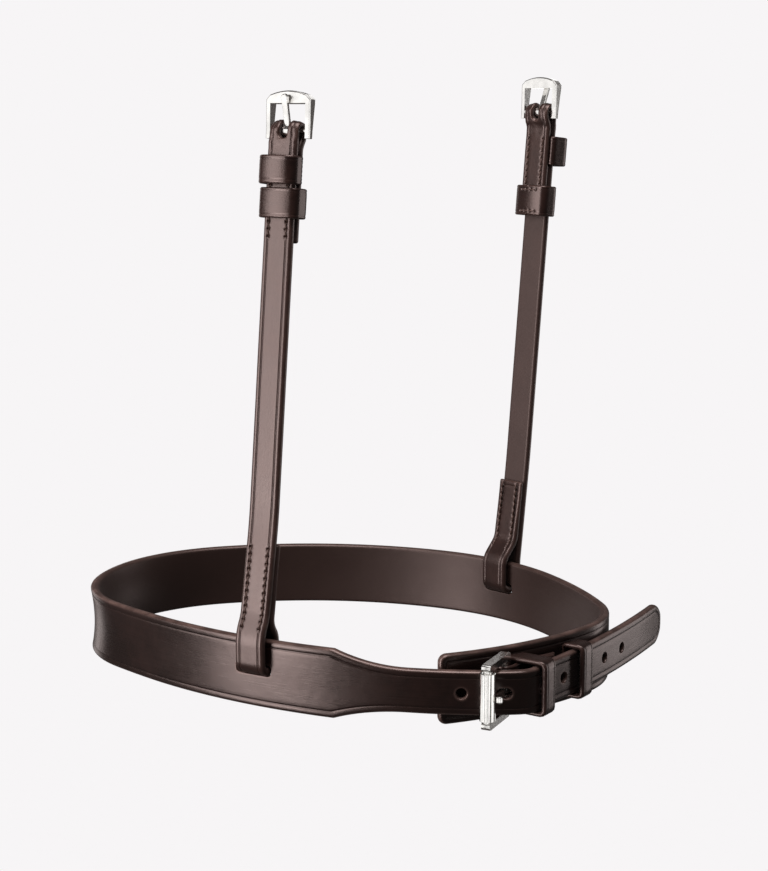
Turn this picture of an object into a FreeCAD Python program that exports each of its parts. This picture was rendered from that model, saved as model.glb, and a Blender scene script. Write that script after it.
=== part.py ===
import FreeCAD, Part
import math
import os

# Leather noseband with two hanging cheek straps, as one parametric document (millimetres).
# +Z is up and z = 0 is the lower edge of the nose band.  +X points to the jaw side, where the
# roller buckle closes the band, and Y runs from the left cheek (-Y) to the right cheek (+Y).
# The origin is the centre of the nose loop on the plane of the band's lower edge.

Vector = FreeCAD.Vector
doc = FreeCAD.newDocument("noseband")

# ---------------------------------------------------------------------------------------------
# Driving dimensions
# ---------------------------------------------------------------------------------------------
SIZES = {
    # nose band and billet, both cut from one strap
    "band_width": 25.4,
    "leather_thickness": 3.4,
    "billet_width": 16.0,
    "guard_start_x": 70.9,
    "guard_start_y": -47.4,
    "guard_start_heading": 51.0,
    "taper_to_buckle": 57.9,
    "taper_length": 26.9,
    "guard_corner_radius": 3.0,
    "tip_length": 7.0,
    "tip_flat": 2.4,
    "tip_bulge_back": 2.5,
    "tip_bulge_out": 5.9,
    "hole_diameter": 3.6,
    "hole_pitch": 14.6,
    "tip_to_first_hole": 41.7,
    "hole_count": 7,
    "worn_hole_number": 5,
    "worn_hole_length": 5.4,
    # slots that the cheek straps pass through
    "slot_length": 15.0,
    "slot_height": 4.4,
    "slot_middle": 13.9,
    "slot_corner": 1.3,
    # chape and keepers of the roller buckle; places along the guard are measured from its end
    "buckle_along": 22.3,
    "chape_end_along": 45.3,
    "chape_ply": 1.5,
    "chape_stack_gap": 0.1,
    "chape_fold_bend": 38.0,
    "chape_outer_short": 1.5,
    "chape_slot_half_length": 3.8,
    "chape_slot_side_room": 0.8,
    "chape_slot_corner": 1.2,
    "keeper_leg": 1.0,
    "keeper_leather": 1.8,
    "keeper_width": 7.5,
    "keeper_room": 0.3,
    "keeper_corner": 2.2,
    "front_keeper_low": -28.5,
    "front_keeper_inside": 101.4,
    "rear_keeper_low": -3.8,
    "rear_keeper_inside": 103.5,
    "sewn_gap": 0.05,
    "stitch_proud": 0.25,
    # roller buckle
    "buckle_height": 23.2,
    "buckle_middle": 13.4,
    "buckle_arm": 2.6,
    "buckle_arm_depth": 3.2,
    "buckle_arm_corner": 1.25,
    "buckle_rear_overhang": 0.5,
    "buckle_front_overhang": 0.4,
    "buckle_heading": -82.5,
    "rear_bar_radius": 1.4,
    "front_bar_radius": 1.5,
    "bar_spacing": 15.2,
    "roller_radius": 2.75,
    "roller_length": 17.0,
    "roller_slit": 0.2,
    "roller_slit_turn": 25.0,
    "running_gap": 0.08,
    "tongue_height": 2.6,
    "tongue_lift": 0.1,
    "tongue_reach": 15.4,
    "tongue_root": 0.5,
    "tongue_root_narrowing": 0.3,
    "tongue_tip_narrowing": 0.1,
    "tongue_rounding": 0.8,
    "tongue_eye_wall": 1.1,
    "tongue_eye_spread": 0.4,
    # cheek straps
    "cheek_width": 12.0,
    "cheek_ply": 2.8,
    "cheek_ply_gap": 0.1,
    "cheek_turn_radius": 3.0,
    "cheek_turn_flat": 2.6,
    "cheek_turn_start": -0.1,
    "cheek_turn_level": 13.9,
    "cheek_bend_radius": 30.0,
    "cheek_change_length": 14.0,
    "cheek_fold_bend": 34.0,
    "cheek_rise_outer": 6.4,
    "cheek_pinch_radius": 16.0,
    "cheek_rise_inner": 6.9,
    "cheek_cross_radius": 7.0,
    "turn_up_top": 58.5,
    "double_top": 61.0,
    "fold_back_length": 39.0,
    "fold_slot_width": 3.8,
    "fold_slot_depth": 3.4,
    "runner_leather": 1.5,
    "runner_room": 0.45,
    "fixed_keeper_leather": 1.6,
    "fixed_keeper_room": 0.2,
    "ring_corner": 1.3,
    "fixed_ring_corner": 2.0,
    "fixed_ring_foot": 0.45,
    "ring_corner_growth": 0.7,
    # cheek buckles
    "cheek_bar_radius": 1.1,
    "cheek_buckle_width": 18.6,
    "cheek_buckle_opening": 14.8,
    "cheek_buckle_top": 13.9,
    "cheek_arm_drop": 2.6,
    "cheek_top_bar_end": 3.0,
    "cheek_top_bar_middle": 4.4,
    "cheek_frame_depth": 3.8,
    "cheek_arm_depth": 2.4,
    "cheek_shoulder": 1.6,
    "cheek_arch_rounding": 0.6,
    "cheek_bar_rooting": 0.4,
    "cheek_tongue_width": 2.2,
    "cheek_tongue_tip_width": 2.8,
    "cheek_tongue_thickness": 1.5,
    "cheek_tongue_reach": 13.0,
    "cheek_tongue_spread": 2.4,
    "cheek_tongue_rounding": 0.35,
    "cheek_tongue_eye_wall": 0.9,
    "cheek_tongue_eye_spread": 0.6,
    "cheek_tongue_rest": 16.6,
    # stitching
    "stitch_pitch": 2.6,
    "thread_radius": 0.4,
    "stitch_inset": 2.3,
    "cheek_stitch_count": 12,
    "lower_stitch_top": 57.3,
    "upper_stitch_start": 2.2,
    "runner_stitch_pitch": 2.4,
    "runner_stitch_inset": 1.8,
    "chape_stitch_along": 36.8,
    "chape_stitch_count": 3,
    "keeper_stitch_half_spread": 5.0,
    "front_keeper_stitch_along": 26.9,
    "rear_keeper_stitch_along": 53.5,
}

# The two cheeks.  azimuth turns the strap's outward side from +Y, lean angles are measured from
# +Z and positive towards the strap's outward side, levels are measured along +Z, and keeper and
# runner middles are measured along the strap from the buckle's bar.
CHEEKS = {
    "left": {
        "slot_along": 486.3,
        "side_shift": -0.8,
        "azimuth": 181.5,
        "low_lean": -10.2,
        "top_lean": -6.3,
        "pinch": 18.0,
        "turn_up_bend": 34.0,
        "bar_level": 203.5,
        "buckle_shift": -0.3,
        "keeper_middle": -13.8,
        "keeper_height": 10.0,
        "keeper_stand": 2.5,
        "runner_middle": -25.2,
        "runner_height": 10.6,
    },
    "right": {
        "slot_along": 175.1,
        "side_shift": 0.0,
        "azimuth": -13.5,
        "low_lean": 6.8,
        "top_lean": 5.4,
        "pinch": 0.0,
        "turn_up_bend": 42.0,
        "bar_level": 209.2,
        "buckle_shift": -0.5,
        "keeper_middle": -15.4,
        "keeper_height": 11.6,
        "keeper_stand": 5.6,
        "runner_middle": -35.8,
        "runner_height": 12.2,
    },
}
for side, measures in CHEEKS.items():
    for key, value in measures.items():
        SIZES["%s_%s" % (side, key)] = value

sheet = doc.addObject("Spreadsheet::Sheet", "sizes")
for row, (alias, value) in enumerate(SIZES.items(), start=1):
    sheet.set("A%d" % row, alias)
    sheet.set("B%d" % row, str(value))
    sheet.setAlias("B%d" % row, alias)
doc.recompute()


def size(alias):
    """Value of one cell of the sheet."""
    return float(sheet.get(alias))


# Stretches of the nose band in plan, each a (length, turn in degrees) arc, from the guard's end
# round the jaw, the right cheek, the front of the nose, the left cheek and back to the billet.
LOOP_STRETCHES = [
    (65.6, 29.1),
    (35.8, 55.8),
    (46.4, 15.9),
    (54.3, 35.4),
    (96.7, 40.6),
    (68.7, 62.7),
    (45.7, 52.8),
    (117.1, 32.0),
    (45.4, 19.1),
]
# The billet goes on past the buckle, bends round the chape and ends in the pointed tip.
BILLET_STRETCHES = [(7.8, 5.0), (7.2, 53.0), (13.0, -9.0), (22.0, 4.5), (67.0, 9.0)]

BILLET_LOW = (size("band_width") - size("billet_width")) / 2
HALF_LEATHER = size("leather_thickness") / 2
MIDDLE_LEVEL = size("band_width") / 2

# ---------------------------------------------------------------------------------------------
# Strips: outlines of constant thickness along a path of lines and arcs
# ---------------------------------------------------------------------------------------------
def step(state, length, turn):
    """State (x, y, heading in degrees) after one stretch of the path."""
    x, y, heading = state
    start = math.radians(heading)
    if abs(turn) < 1e-9:
        return (x + length * math.cos(start), y + length * math.sin(start), heading)
    radius = length / math.radians(turn)
    end = math.radians(heading + turn)
    x += radius * (math.sin(end) - math.sin(start))
    y -= radius * (math.cos(end) - math.cos(start))
    return (x, y, heading + turn)


def walk(state, stretches):
    """All states along a path, from its start to its end."""
    states = [state]
    for length, turn in stretches:
        states.append(step(states[-1], length, turn))
    return states


def along(state, stretches, distance):
    """State at a distance along a path."""
    for length, turn in stretches:
        if distance <= length:
            return step(state, distance, turn * distance / length)
        state = step(state, length, turn)
        distance -= length
    return state


def part_of(stretches, first, last):
    """The stretches between two distances along a path."""
    kept = []
    done = 0.0
    for length, turn in stretches:
        low = max(first, done)
        high = min(last, done + length)
        if high - low > 1e-6:
            kept.append((high - low, turn * (high - low) / length))
        done += length
    return kept


def shifted(state, offset):
    """The point beside a path state, positive to the left of the heading."""
    x, y, heading = state
    angle = math.radians(heading)
    return Vector(x - offset * math.sin(angle), y + offset * math.cos(angle), 0)


def edge_along(state, stretch, offset):
    """One edge parallel to a stretch, at an offset to its left."""
    length, turn = stretch
    after = step(state, length, turn)
    if abs(turn) < 1e-9:
        return Part.LineSegment(shifted(state, offset), shifted(after, offset))
    radius = length / math.radians(turn)
    centre = shifted(state, radius)
    if turn > 0:
        first = math.radians(state[2] - 90)
        last = math.radians(after[2] - 90)
    else:
        first = math.radians(after[2] + 90)
        last = math.radians(state[2] + 90)
    circle = Part.Circle(centre, Vector(0, 0, 1), abs(radius - offset))
    return Part.ArcOfCircle(circle, first, last)


def strip(start, stretches, left, right):
    """Closed outline between two offsets (left > right) of a path."""
    states = walk(start, stretches)
    edges = []
    for state, stretch in zip(states, stretches):
        edges.append(edge_along(state, stretch, left))
        edges.append(edge_along(state, stretch, right))
    for state in (states[0], states[-1]):
        edges.append(Part.LineSegment(shifted(state, right), shifted(state, left)))
    return edges


def polygon(points):
    """Closed outline through points."""
    corners = [Vector(x, y, 0) for x, y in points]
    return [Part.LineSegment(a, b) for a, b in zip(corners, corners[1:] + corners[:1])]


def rounded_box(x_low, x_high, y_low, y_high, radius, low_radius=None):
    """Closed rectangle with round corners; the two low corners may have their own radius."""
    low = low_radius or radius
    corners = [
        (x_high - radius, y_high - radius, 0, radius),
        (x_low + radius, y_high - radius, 90, radius),
        (x_low + low, y_low + low, 180, low),
        (x_high - low, y_low + low, 270, low),
    ]
    edges = []
    for x, y, first, corner in corners:
        circle = Part.Circle(Vector(x, y, 0), Vector(0, 0, 1), corner)
        edges.append(Part.ArcOfCircle(circle, math.radians(first), math.radians(first + 90)))
    ends = [(edge.EndPoint, other.StartPoint) for edge, other in zip(edges, edges[1:] + edges[:1])]
    return edges + [Part.LineSegment(a, b) for a, b in ends if a.distanceToPoint(b) > 1e-6]


# ---------------------------------------------------------------------------------------------
# Bodies and features
# ---------------------------------------------------------------------------------------------
def new_body(name):
    body = doc.addObject("PartDesign::Body", name)
    body.Label = name
    return body


def new_sketch(body, name, plane, edges, offset=None):
    """Sketch on one of the body's own origin planes, moved off it by an offset placement."""
    sketch = body.newObject("Sketcher::SketchObject", name)
    sketch.AttachmentSupport = [(find_plane(body, plane), "")]
    sketch.MapMode = "FlatFace"
    if offset is not None:
        sketch.AttachmentOffset = offset
    sketch.addGeometry(edges, False)
    doc.recompute()
    return sketch


def find_plane(body, role):
    return next(item for item in body.Origin.OriginFeatures if item.Role == role)


def raised(level):
    return FreeCAD.Placement(Vector(0, 0, level), FreeCAD.Rotation())


def pad(body, name, sketch, length, symmetric=False):
    """Pad of a sketch; length is an expression on the sheet."""
    feature = body.newObject("PartDesign::Pad", name)
    feature.Profile = sketch
    feature.setExpression("Length", length)
    if symmetric:
        feature.SideType = "Symmetric"
    doc.recompute()
    return feature


def pocket(body, name, sketch, length):
    """Pocket to both sides of its sketch, which has to take material away."""
    before = body.Shape.Volume
    feature = body.newObject("PartDesign::Pocket", name)
    feature.Profile = sketch
    feature.setExpression("Length", length)
    feature.SideType = "Symmetric"
    doc.recompute()
    if body.Shape.Volume > before - 1e-3:
        raise RuntimeError(name + " cuts nothing")
    return feature


def round_edges(body, name, radius, keep):
    """Fillet of the tip's edges that keep(edge) picks."""
    base = body.Tip
    picked = []
    for number, edge in enumerate(base.Shape.Edges, start=1):
        if keep(edge):
            picked.append("Edge%d" % number)
    feature = body.newObject("PartDesign::Fillet", name)
    feature.Base = (base, picked)
    feature.Radius = radius
    doc.recompute()
    return feature


def upright_plane(state):
    """Offset from the XZ plane to an upright plane along a path state's heading."""
    x, y, heading = state
    turn = FreeCAD.Rotation(Vector(0, 1, 0), heading)
    return FreeCAD.Placement(Vector(x, 0, -y), turn)


def circle(x, y, radius):
    return [Part.Circle(Vector(x, y, 0), Vector(0, 0, 1), radius)]


def pins(name, rows, radius, placement):
    """A group of separate thread pins; rows holds (x, first y, last y, z) of each pin."""
    shapes = []
    for x, y_low, y_high, z in rows:
        shapes.append(Part.makeCylinder(radius, y_high - y_low, Vector(x, y_low, z), Vector(0, 1, 0)))
    feature = doc.addObject("Part::Feature", name)
    feature.Label = name
    feature.Shape = Part.makeCompound(shapes)
    feature.Placement = placement
    return feature


# ---------------------------------------------------------------------------------------------
# Nose band and billet
# ---------------------------------------------------------------------------------------------
GUARD_START = (size("guard_start_x"), size("guard_start_y"), size("guard_start_heading"))
LOOP_LENGTH = sum(length for length, turn in LOOP_STRETCHES)
BAND_STRETCHES = LOOP_STRETCHES + BILLET_STRETCHES
BAND_LENGTH = sum(length for length, turn in BAND_STRETCHES)
TAPER_START = LOOP_LENGTH - size("taper_to_buckle")
TAPER_END = TAPER_START + size("taper_length")
FIRST_HOLE = BAND_LENGTH - size("tip_to_first_hole")
TONGUE_HOLE = FIRST_HOLE - size("worn_hole_number") * size("hole_pitch")


def band_state(distance):
    return along(GUARD_START, BAND_STRETCHES, distance)


def build_noseband():
    body = new_body("noseband_strap")
    wide = strip(GUARD_START, part_of(BAND_STRETCHES, 0, TAPER_END), HALF_LEATHER, -HALF_LEATHER)
    pad(body, "wide_band", new_sketch(body, "wide_band_plan", "XY_Plane", wide), "sizes.band_width")
    cut_guard_corners(body)
    cut_taper(body)
    start = band_state(TAPER_END - 1)
    narrow = strip(start, part_of(BAND_STRETCHES, TAPER_END - 1, BAND_LENGTH), HALF_LEATHER, -HALF_LEATHER)
    plan = new_sketch(body, "billet_plan", "XY_Plane", narrow, raised(BILLET_LOW))
    pad(body, "billet", plan, "sizes.billet_width")
    cut_tip(body)
    cut_slots(body)
    cut_holes(body)
    return body


def cut_guard_corners(body):
    radius = size("guard_corner_radius")
    thickness = size("leather_thickness")

    def at_guard_end(edge):
        middle = edge.CenterOfMass
        near = math.hypot(middle.x - GUARD_START[0], middle.y - GUARD_START[1]) < 0.1
        return near and abs(edge.Length - thickness) < 0.01

    round_edges(body, "guard_corners", radius, at_guard_end)


def cut_taper(body):
    """Cuts both edges of the band down to the billet's width along arcs that end tangent to it."""
    length = size("taper_length")
    radius = (length * length + BILLET_LOW * BILLET_LOW) / (2 * BILLET_LOW)
    half_turn = math.asin(length / radius) / 2
    edges = []
    for side, edge in ((1, 0.0), (-1, size("band_width"))):
        level = edge + side * BILLET_LOW
        beyond = edge - side
        start = Vector(0, edge, 0)
        drop = radius * (1 - math.cos(half_turn))
        middle = Vector(length - radius * math.sin(half_turn), level - side * drop, 0)
        end = Vector(length, level, 0)
        edges.append(Part.Arc(start, middle, end))
        corners = [end]
        corners += [Vector(x, y, 0) for x, y in ((length + 1, level), (length + 1, beyond), (0, beyond), (0, edge))]
        for a, b in zip(corners, corners[1:]):
            edges.append(Part.LineSegment(a, b))
    sketch = new_sketch(body, "taper_profile", "XZ_Plane", edges, upright_plane(band_state(TAPER_START)))
    pocket(body, "taper", sketch, "sizes.leather_thickness * 4")


def cut_tip(body):
    length = size("tip_length")
    flat = size("tip_flat")
    half = size("billet_width") / 2
    edges = []
    for side in (1, -1):
        start = Vector(-length, MIDDLE_LEVEL + side * half, 0)
        end = Vector(0, MIDDLE_LEVEL + side * flat, 0)
        middle = Vector(-size("tip_bulge_back"), MIDDLE_LEVEL + side * size("tip_bulge_out"), 0)
        edges.append(Part.Arc(start, middle, end))
        beyond = MIDDLE_LEVEL + side * (half + 1)
        corners = [end, Vector(1, end.y, 0), Vector(1, beyond, 0), Vector(-length, beyond, 0), start]
        for a, b in zip(corners, corners[1:]):
            edges.append(Part.LineSegment(a, b))
    sketch = new_sketch(body, "tip_profile", "XZ_Plane", edges, upright_plane(band_state(BAND_LENGTH)))
    pocket(body, "tip", sketch, "sizes.leather_thickness * 3")


def cut_slots(body):
    half = size("slot_length") / 2
    low = size("slot_middle") - size("slot_height") / 2
    high = low + size("slot_height")
    for side, cheek in CHEEKS.items():
        edges = rounded_box(-half, half, low, high, size("slot_corner"))
        place = upright_plane(band_state(cheek["slot_along"]))
        sketch = new_sketch(body, "slot_" + side, "XZ_Plane", edges, place)
        pocket(body, "slot_cut_" + side, sketch, "sizes.leather_thickness * 3")


def cut_holes(body):
    radius = size("hole_diameter") / 2
    half = size("worn_hole_length") / 2
    for number in range(int(size("hole_count"))):
        distance = FIRST_HOLE - number * size("hole_pitch")
        if abs(distance - TONGUE_HOLE) < 0.1:
            edges = rounded_box(-half, half, MIDDLE_LEVEL - radius, MIDDLE_LEVEL + radius, radius - 0.01)
        else:
            edges = circle(0, MIDDLE_LEVEL, radius)
        sketch = new_sketch(body, "hole_%d" % number, "XZ_Plane", edges, upright_plane(band_state(distance)))
        pocket(body, "hole_cut_%d" % number, sketch, "sizes.leather_thickness * 3")


# ---------------------------------------------------------------------------------------------
# Roller buckle: places in plan
# ---------------------------------------------------------------------------------------------
LEG_OUTSIDE = -(HALF_LEATHER + size("sewn_gap") + size("keeper_leg"))
CHAPE_INNER = LEG_OUTSIDE - size("sewn_gap")
BAR_TO_CHAPE = size("rear_bar_radius") + size("chape_stack_gap")
FOLD_RADIUS = BAR_TO_CHAPE + size("chape_ply") / 2
BUCKLE_STATE = band_state(size("buckle_along"))
REAR_BAR = shifted(BUCKLE_STATE, CHAPE_INNER - size("chape_ply") - BAR_TO_CHAPE)
ROLLER_REST = size("roller_radius") + size("tongue_height") / 2 + size("tongue_lift")
TONGUE_HEADING = size("buckle_heading") + math.degrees(math.asin(ROLLER_REST / size("bar_spacing")))
TONGUE_LEVEL = MIDDLE_LEVEL + size("tongue_lift")


def at_rear_bar(heading, level):
    """Frame on the rear bar's axis, with x towards a heading in plan."""
    rotation = FreeCAD.Rotation(Vector(0, 0, 1), heading)
    return FreeCAD.Placement(Vector(REAR_BAR.x, REAR_BAR.y, level), rotation)


def build_chape():
    """Strip folded round the rear bar, its two plies lying on the guard's outer face."""
    body = new_body("main_chape")
    ply = size("chape_ply")
    length, turn = part_of(BAND_STRETCHES, size("buckle_along"), size("chape_end_along"))[0]
    guard_radius = length / math.radians(turn)
    length *= (guard_radius - CHAPE_INNER + ply / 2) / guard_radius
    start = (*shifted(BUCKLE_STATE, CHAPE_INNER - ply / 2)[:2], BUCKLE_STATE[2])
    far_end = step(start, length, turn)

    bend = size("chape_fold_bend")
    drop = FOLD_RADIUS * 2 - ply - size("chape_stack_gap")
    bend_radius = drop / (2 * (1 - math.cos(math.radians(bend))))
    bend_length = bend_radius * math.radians(bend)
    bend_run = 2 * bend_radius * math.sin(math.radians(bend))
    flat_length = length - bend_run - size("chape_outer_short")
    path = [
        (length, -turn),
        (FOLD_RADIUS * math.pi, 180.0),
        (bend_length, bend),
        (bend_length, -bend + math.degrees(bend_run / guard_radius)),
        (flat_length, turn * flat_length / length),
    ]
    edges = strip((far_end[0], far_end[1], far_end[2] + 180), path, ply / 2, -ply / 2)
    sketch = new_sketch(body, "chape_plan", "XY_Plane", edges, raised(BILLET_LOW))
    pad(body, "chape_pad", sketch, "sizes.billet_width")

    reach = size("chape_slot_half_length")
    side = size("tongue_height") / 2 + size("chape_slot_side_room")
    edges = rounded_box(-reach, reach, TONGUE_LEVEL - side, TONGUE_LEVEL + side, size("chape_slot_corner"))
    state = (REAR_BAR.x, REAR_BAR.y, BUCKLE_STATE[2])
    sketch = new_sketch(body, "tongue_slot", "XZ_Plane", edges, upright_plane(state))
    pocket(body, "tongue_slot_cut", sketch, "sizes.chape_ply * 10")
    return body


def build_buckle_frame():
    body = new_body("main_buckle_frame")
    arm = size("buckle_arm")
    half = size("buckle_height") / 2
    rear = -size("rear_bar_radius") - size("buckle_rear_overhang")
    front = size("bar_spacing") + size("front_bar_radius") + size("buckle_front_overhang")
    edges = rounded_box(rear, front, half - arm, half, size("buckle_arm_corner"))
    edges += rounded_box(rear, front, -half, -half + arm, size("buckle_arm_corner"))
    pad(body, "arms", new_sketch(body, "arm_profile", "XZ_Plane", edges), "sizes.buckle_arm_depth", True)
    level = raised(-half + arm / 2)
    for name, x, radius in (
        ("rear_bar", 0.0, size("rear_bar_radius")),
        ("front_bar", size("bar_spacing"), size("front_bar_radius")),
    ):
        sketch = new_sketch(body, name + "_section", "XY_Plane", circle(x, 0, radius), level)
        pad(body, name, sketch, "sizes.buckle_height - sizes.buckle_arm")
    body.Placement = at_rear_bar(size("buckle_heading"), size("buckle_middle"))
    return body


def build_roller():
    """Rolled tube on the front bar, with the slit where its edges meet."""
    body = new_body("main_buckle_roller")
    bore = size("front_bar_radius") + size("running_gap")
    ring = circle(0, 0, size("roller_radius")) + circle(0, 0, bore)
    pad(body, "tube", new_sketch(body, "tube_section", "XY_Plane", ring), "sizes.roller_length", True)
    low, high = bore - size("roller_slit"), size("roller_radius") + size("roller_slit")
    half = size("roller_slit") / 2
    slit = polygon([(low, -half), (high, -half), (high, half), (low, half)])
    sketch = new_sketch(body, "slit_section", "XY_Plane", slit)
    pocket(body, "slit", sketch, "sizes.roller_length * 1.2")
    frame = at_rear_bar(size("buckle_heading"), size("buckle_middle"))
    turn = FreeCAD.Rotation(Vector(0, 0, 1), size("roller_slit_turn"))
    offset = FreeCAD.Placement(Vector(size("bar_spacing"), 0, 0), turn)
    body.Placement = frame.multiply(offset)
    return body


def build_main_tongue():
    body = new_body("main_buckle_tongue")
    bore = size("rear_bar_radius") + size("running_gap")
    half = size("tongue_height") / 2
    reach = size("tongue_reach")
    tip = half - size("tongue_tip_narrowing")
    root = half - size("tongue_root_narrowing")
    root_x = size("tongue_root")
    outline = [
        Part.LineSegment(Vector(root_x, -root, 0), Vector(reach, -tip, 0)),
        Part.ArcOfCircle(Part.Circle(Vector(reach, 0, 0), Vector(0, 0, 1), tip), -math.pi / 2, math.pi / 2),
        Part.LineSegment(Vector(reach, tip, 0), Vector(root_x, root, 0)),
        Part.LineSegment(Vector(root_x, root, 0), Vector(root_x, -root, 0)),
    ]
    pad(body, "shank", new_sketch(body, "shank_plan", "XY_Plane", outline), "sizes.tongue_height", True)

    def long_edge(edge):
        middle = edge.CenterOfMass
        return middle.x > reach / 5 and abs(abs(middle.z) - half) < 0.01

    round_edges(body, "shank_rounding", size("tongue_rounding"), long_edge)
    eye = circle(0, 0, bore + size("tongue_eye_wall"))
    pad(body, "eye", new_sketch(body, "eye_section", "XY_Plane", eye),
        "sizes.tongue_height + sizes.tongue_eye_spread", True)
    pocket(body, "eye_bore", new_sketch(body, "bore_section", "XY_Plane", circle(0, 0, bore)),
           "sizes.tongue_height * 2")
    body.Placement = at_rear_bar(TONGUE_HEADING, TONGUE_LEVEL)
    return body


def build_main_keeper(name, y_low, inside_x):
    """Keeper standing on the guard: two side strips, an outer strip and a thin leg on the guard."""
    body = new_body(name)
    leather = size("keeper_leather")
    y_high = y_low + size("keeper_width")
    room = size("keeper_room")
    first = guard_arc_at(y_low, HALF_LEATHER + size("sewn_gap"))
    last = guard_arc_at(y_high, HALF_LEATHER + size("sewn_gap"))
    sketch = new_sketch(body, "outside_plan", "XY_Plane",
                        keeper_plan(first, last, inside_x + leather, y_low, y_high),
                        raised(BILLET_LOW - room - leather))
    pad(body, "outside", sketch, "sizes.billet_width + 2 * (sizes.keeper_leather + sizes.keeper_room)")

    def outer_edge(edge):
        middle = edge.CenterOfMass
        along_y = abs(edge.Length - size("keeper_width")) < 0.01
        return along_y and abs(middle.x - inside_x - leather) < 0.01

    round_edges(body, "outer_corners", size("keeper_corner"), outer_edge)
    first = guard_arc_at(y_low - 1, -LEG_OUTSIDE)
    last = guard_arc_at(y_high + 1, -LEG_OUTSIDE)
    sketch = new_sketch(body, "inside_plan", "XY_Plane",
                        keeper_plan(first, last, inside_x, y_low - 1, y_high + 1), raised(MIDDLE_LEVEL))
    pocket(body, "inside", sketch, "sizes.billet_width + 2 * sizes.keeper_room")
    return body


def guard_arc_at(y, offset):
    """Point at a given y on the curve that runs beside the guard's outer face."""
    length, turn = LOOP_STRETCHES[0]
    radius = length / math.radians(turn)
    centre = shifted(GUARD_START, radius)
    reach = radius + offset
    return Vector(centre.x + math.sqrt(reach * reach - (y - centre.y) ** 2), y, 0)


def keeper_plan(first, last, x_outer, y_low, y_high):
    """Plan of a keeper: an arc beside the guard, two sides square to Y and a straight outer side."""
    length, turn = LOOP_STRETCHES[0]
    centre = shifted(GUARD_START, length / math.radians(turn))
    reach = first.distanceToPoint(centre)
    low_angle = math.atan2(first.y - centre.y, first.x - centre.x)
    high_angle = math.atan2(last.y - centre.y, last.x - centre.x)
    arc = Part.ArcOfCircle(Part.Circle(centre, Vector(0, 0, 1), reach), low_angle, high_angle)
    corners = [first, Vector(x_outer, y_low, 0), Vector(x_outer, y_high, 0), last]
    return [arc] + [Part.LineSegment(a, b) for a, b in zip(corners, corners[1:])]


def guard_frame(distance):
    """Frame on the guard's centre line: x along the strap and y through it to the inside."""
    state = band_state(distance)
    return FreeCAD.Placement(Vector(state[0], state[1], 0), FreeCAD.Rotation(Vector(0, 0, 1), state[2]))


def build_guard_stitching(name, distances, levels, outside):
    """Thread pins through what is sewn on the guard, out to an offset beyond its outer face."""
    shapes = []
    for distance in distances:
        frame = guard_frame(distance)
        for level in levels:
            pin = Part.makeCylinder(size("thread_radius"), outside + HALF_LEATHER + size("stitch_proud"),
                                    Vector(0, -outside, level), Vector(0, 1, 0))
            pin.Placement = frame.multiply(pin.Placement)
            shapes.append(pin)
    feature = doc.addObject("Part::Feature", name)
    feature.Label = name
    feature.Shape = Part.makeCompound(shapes)
    return feature


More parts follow.
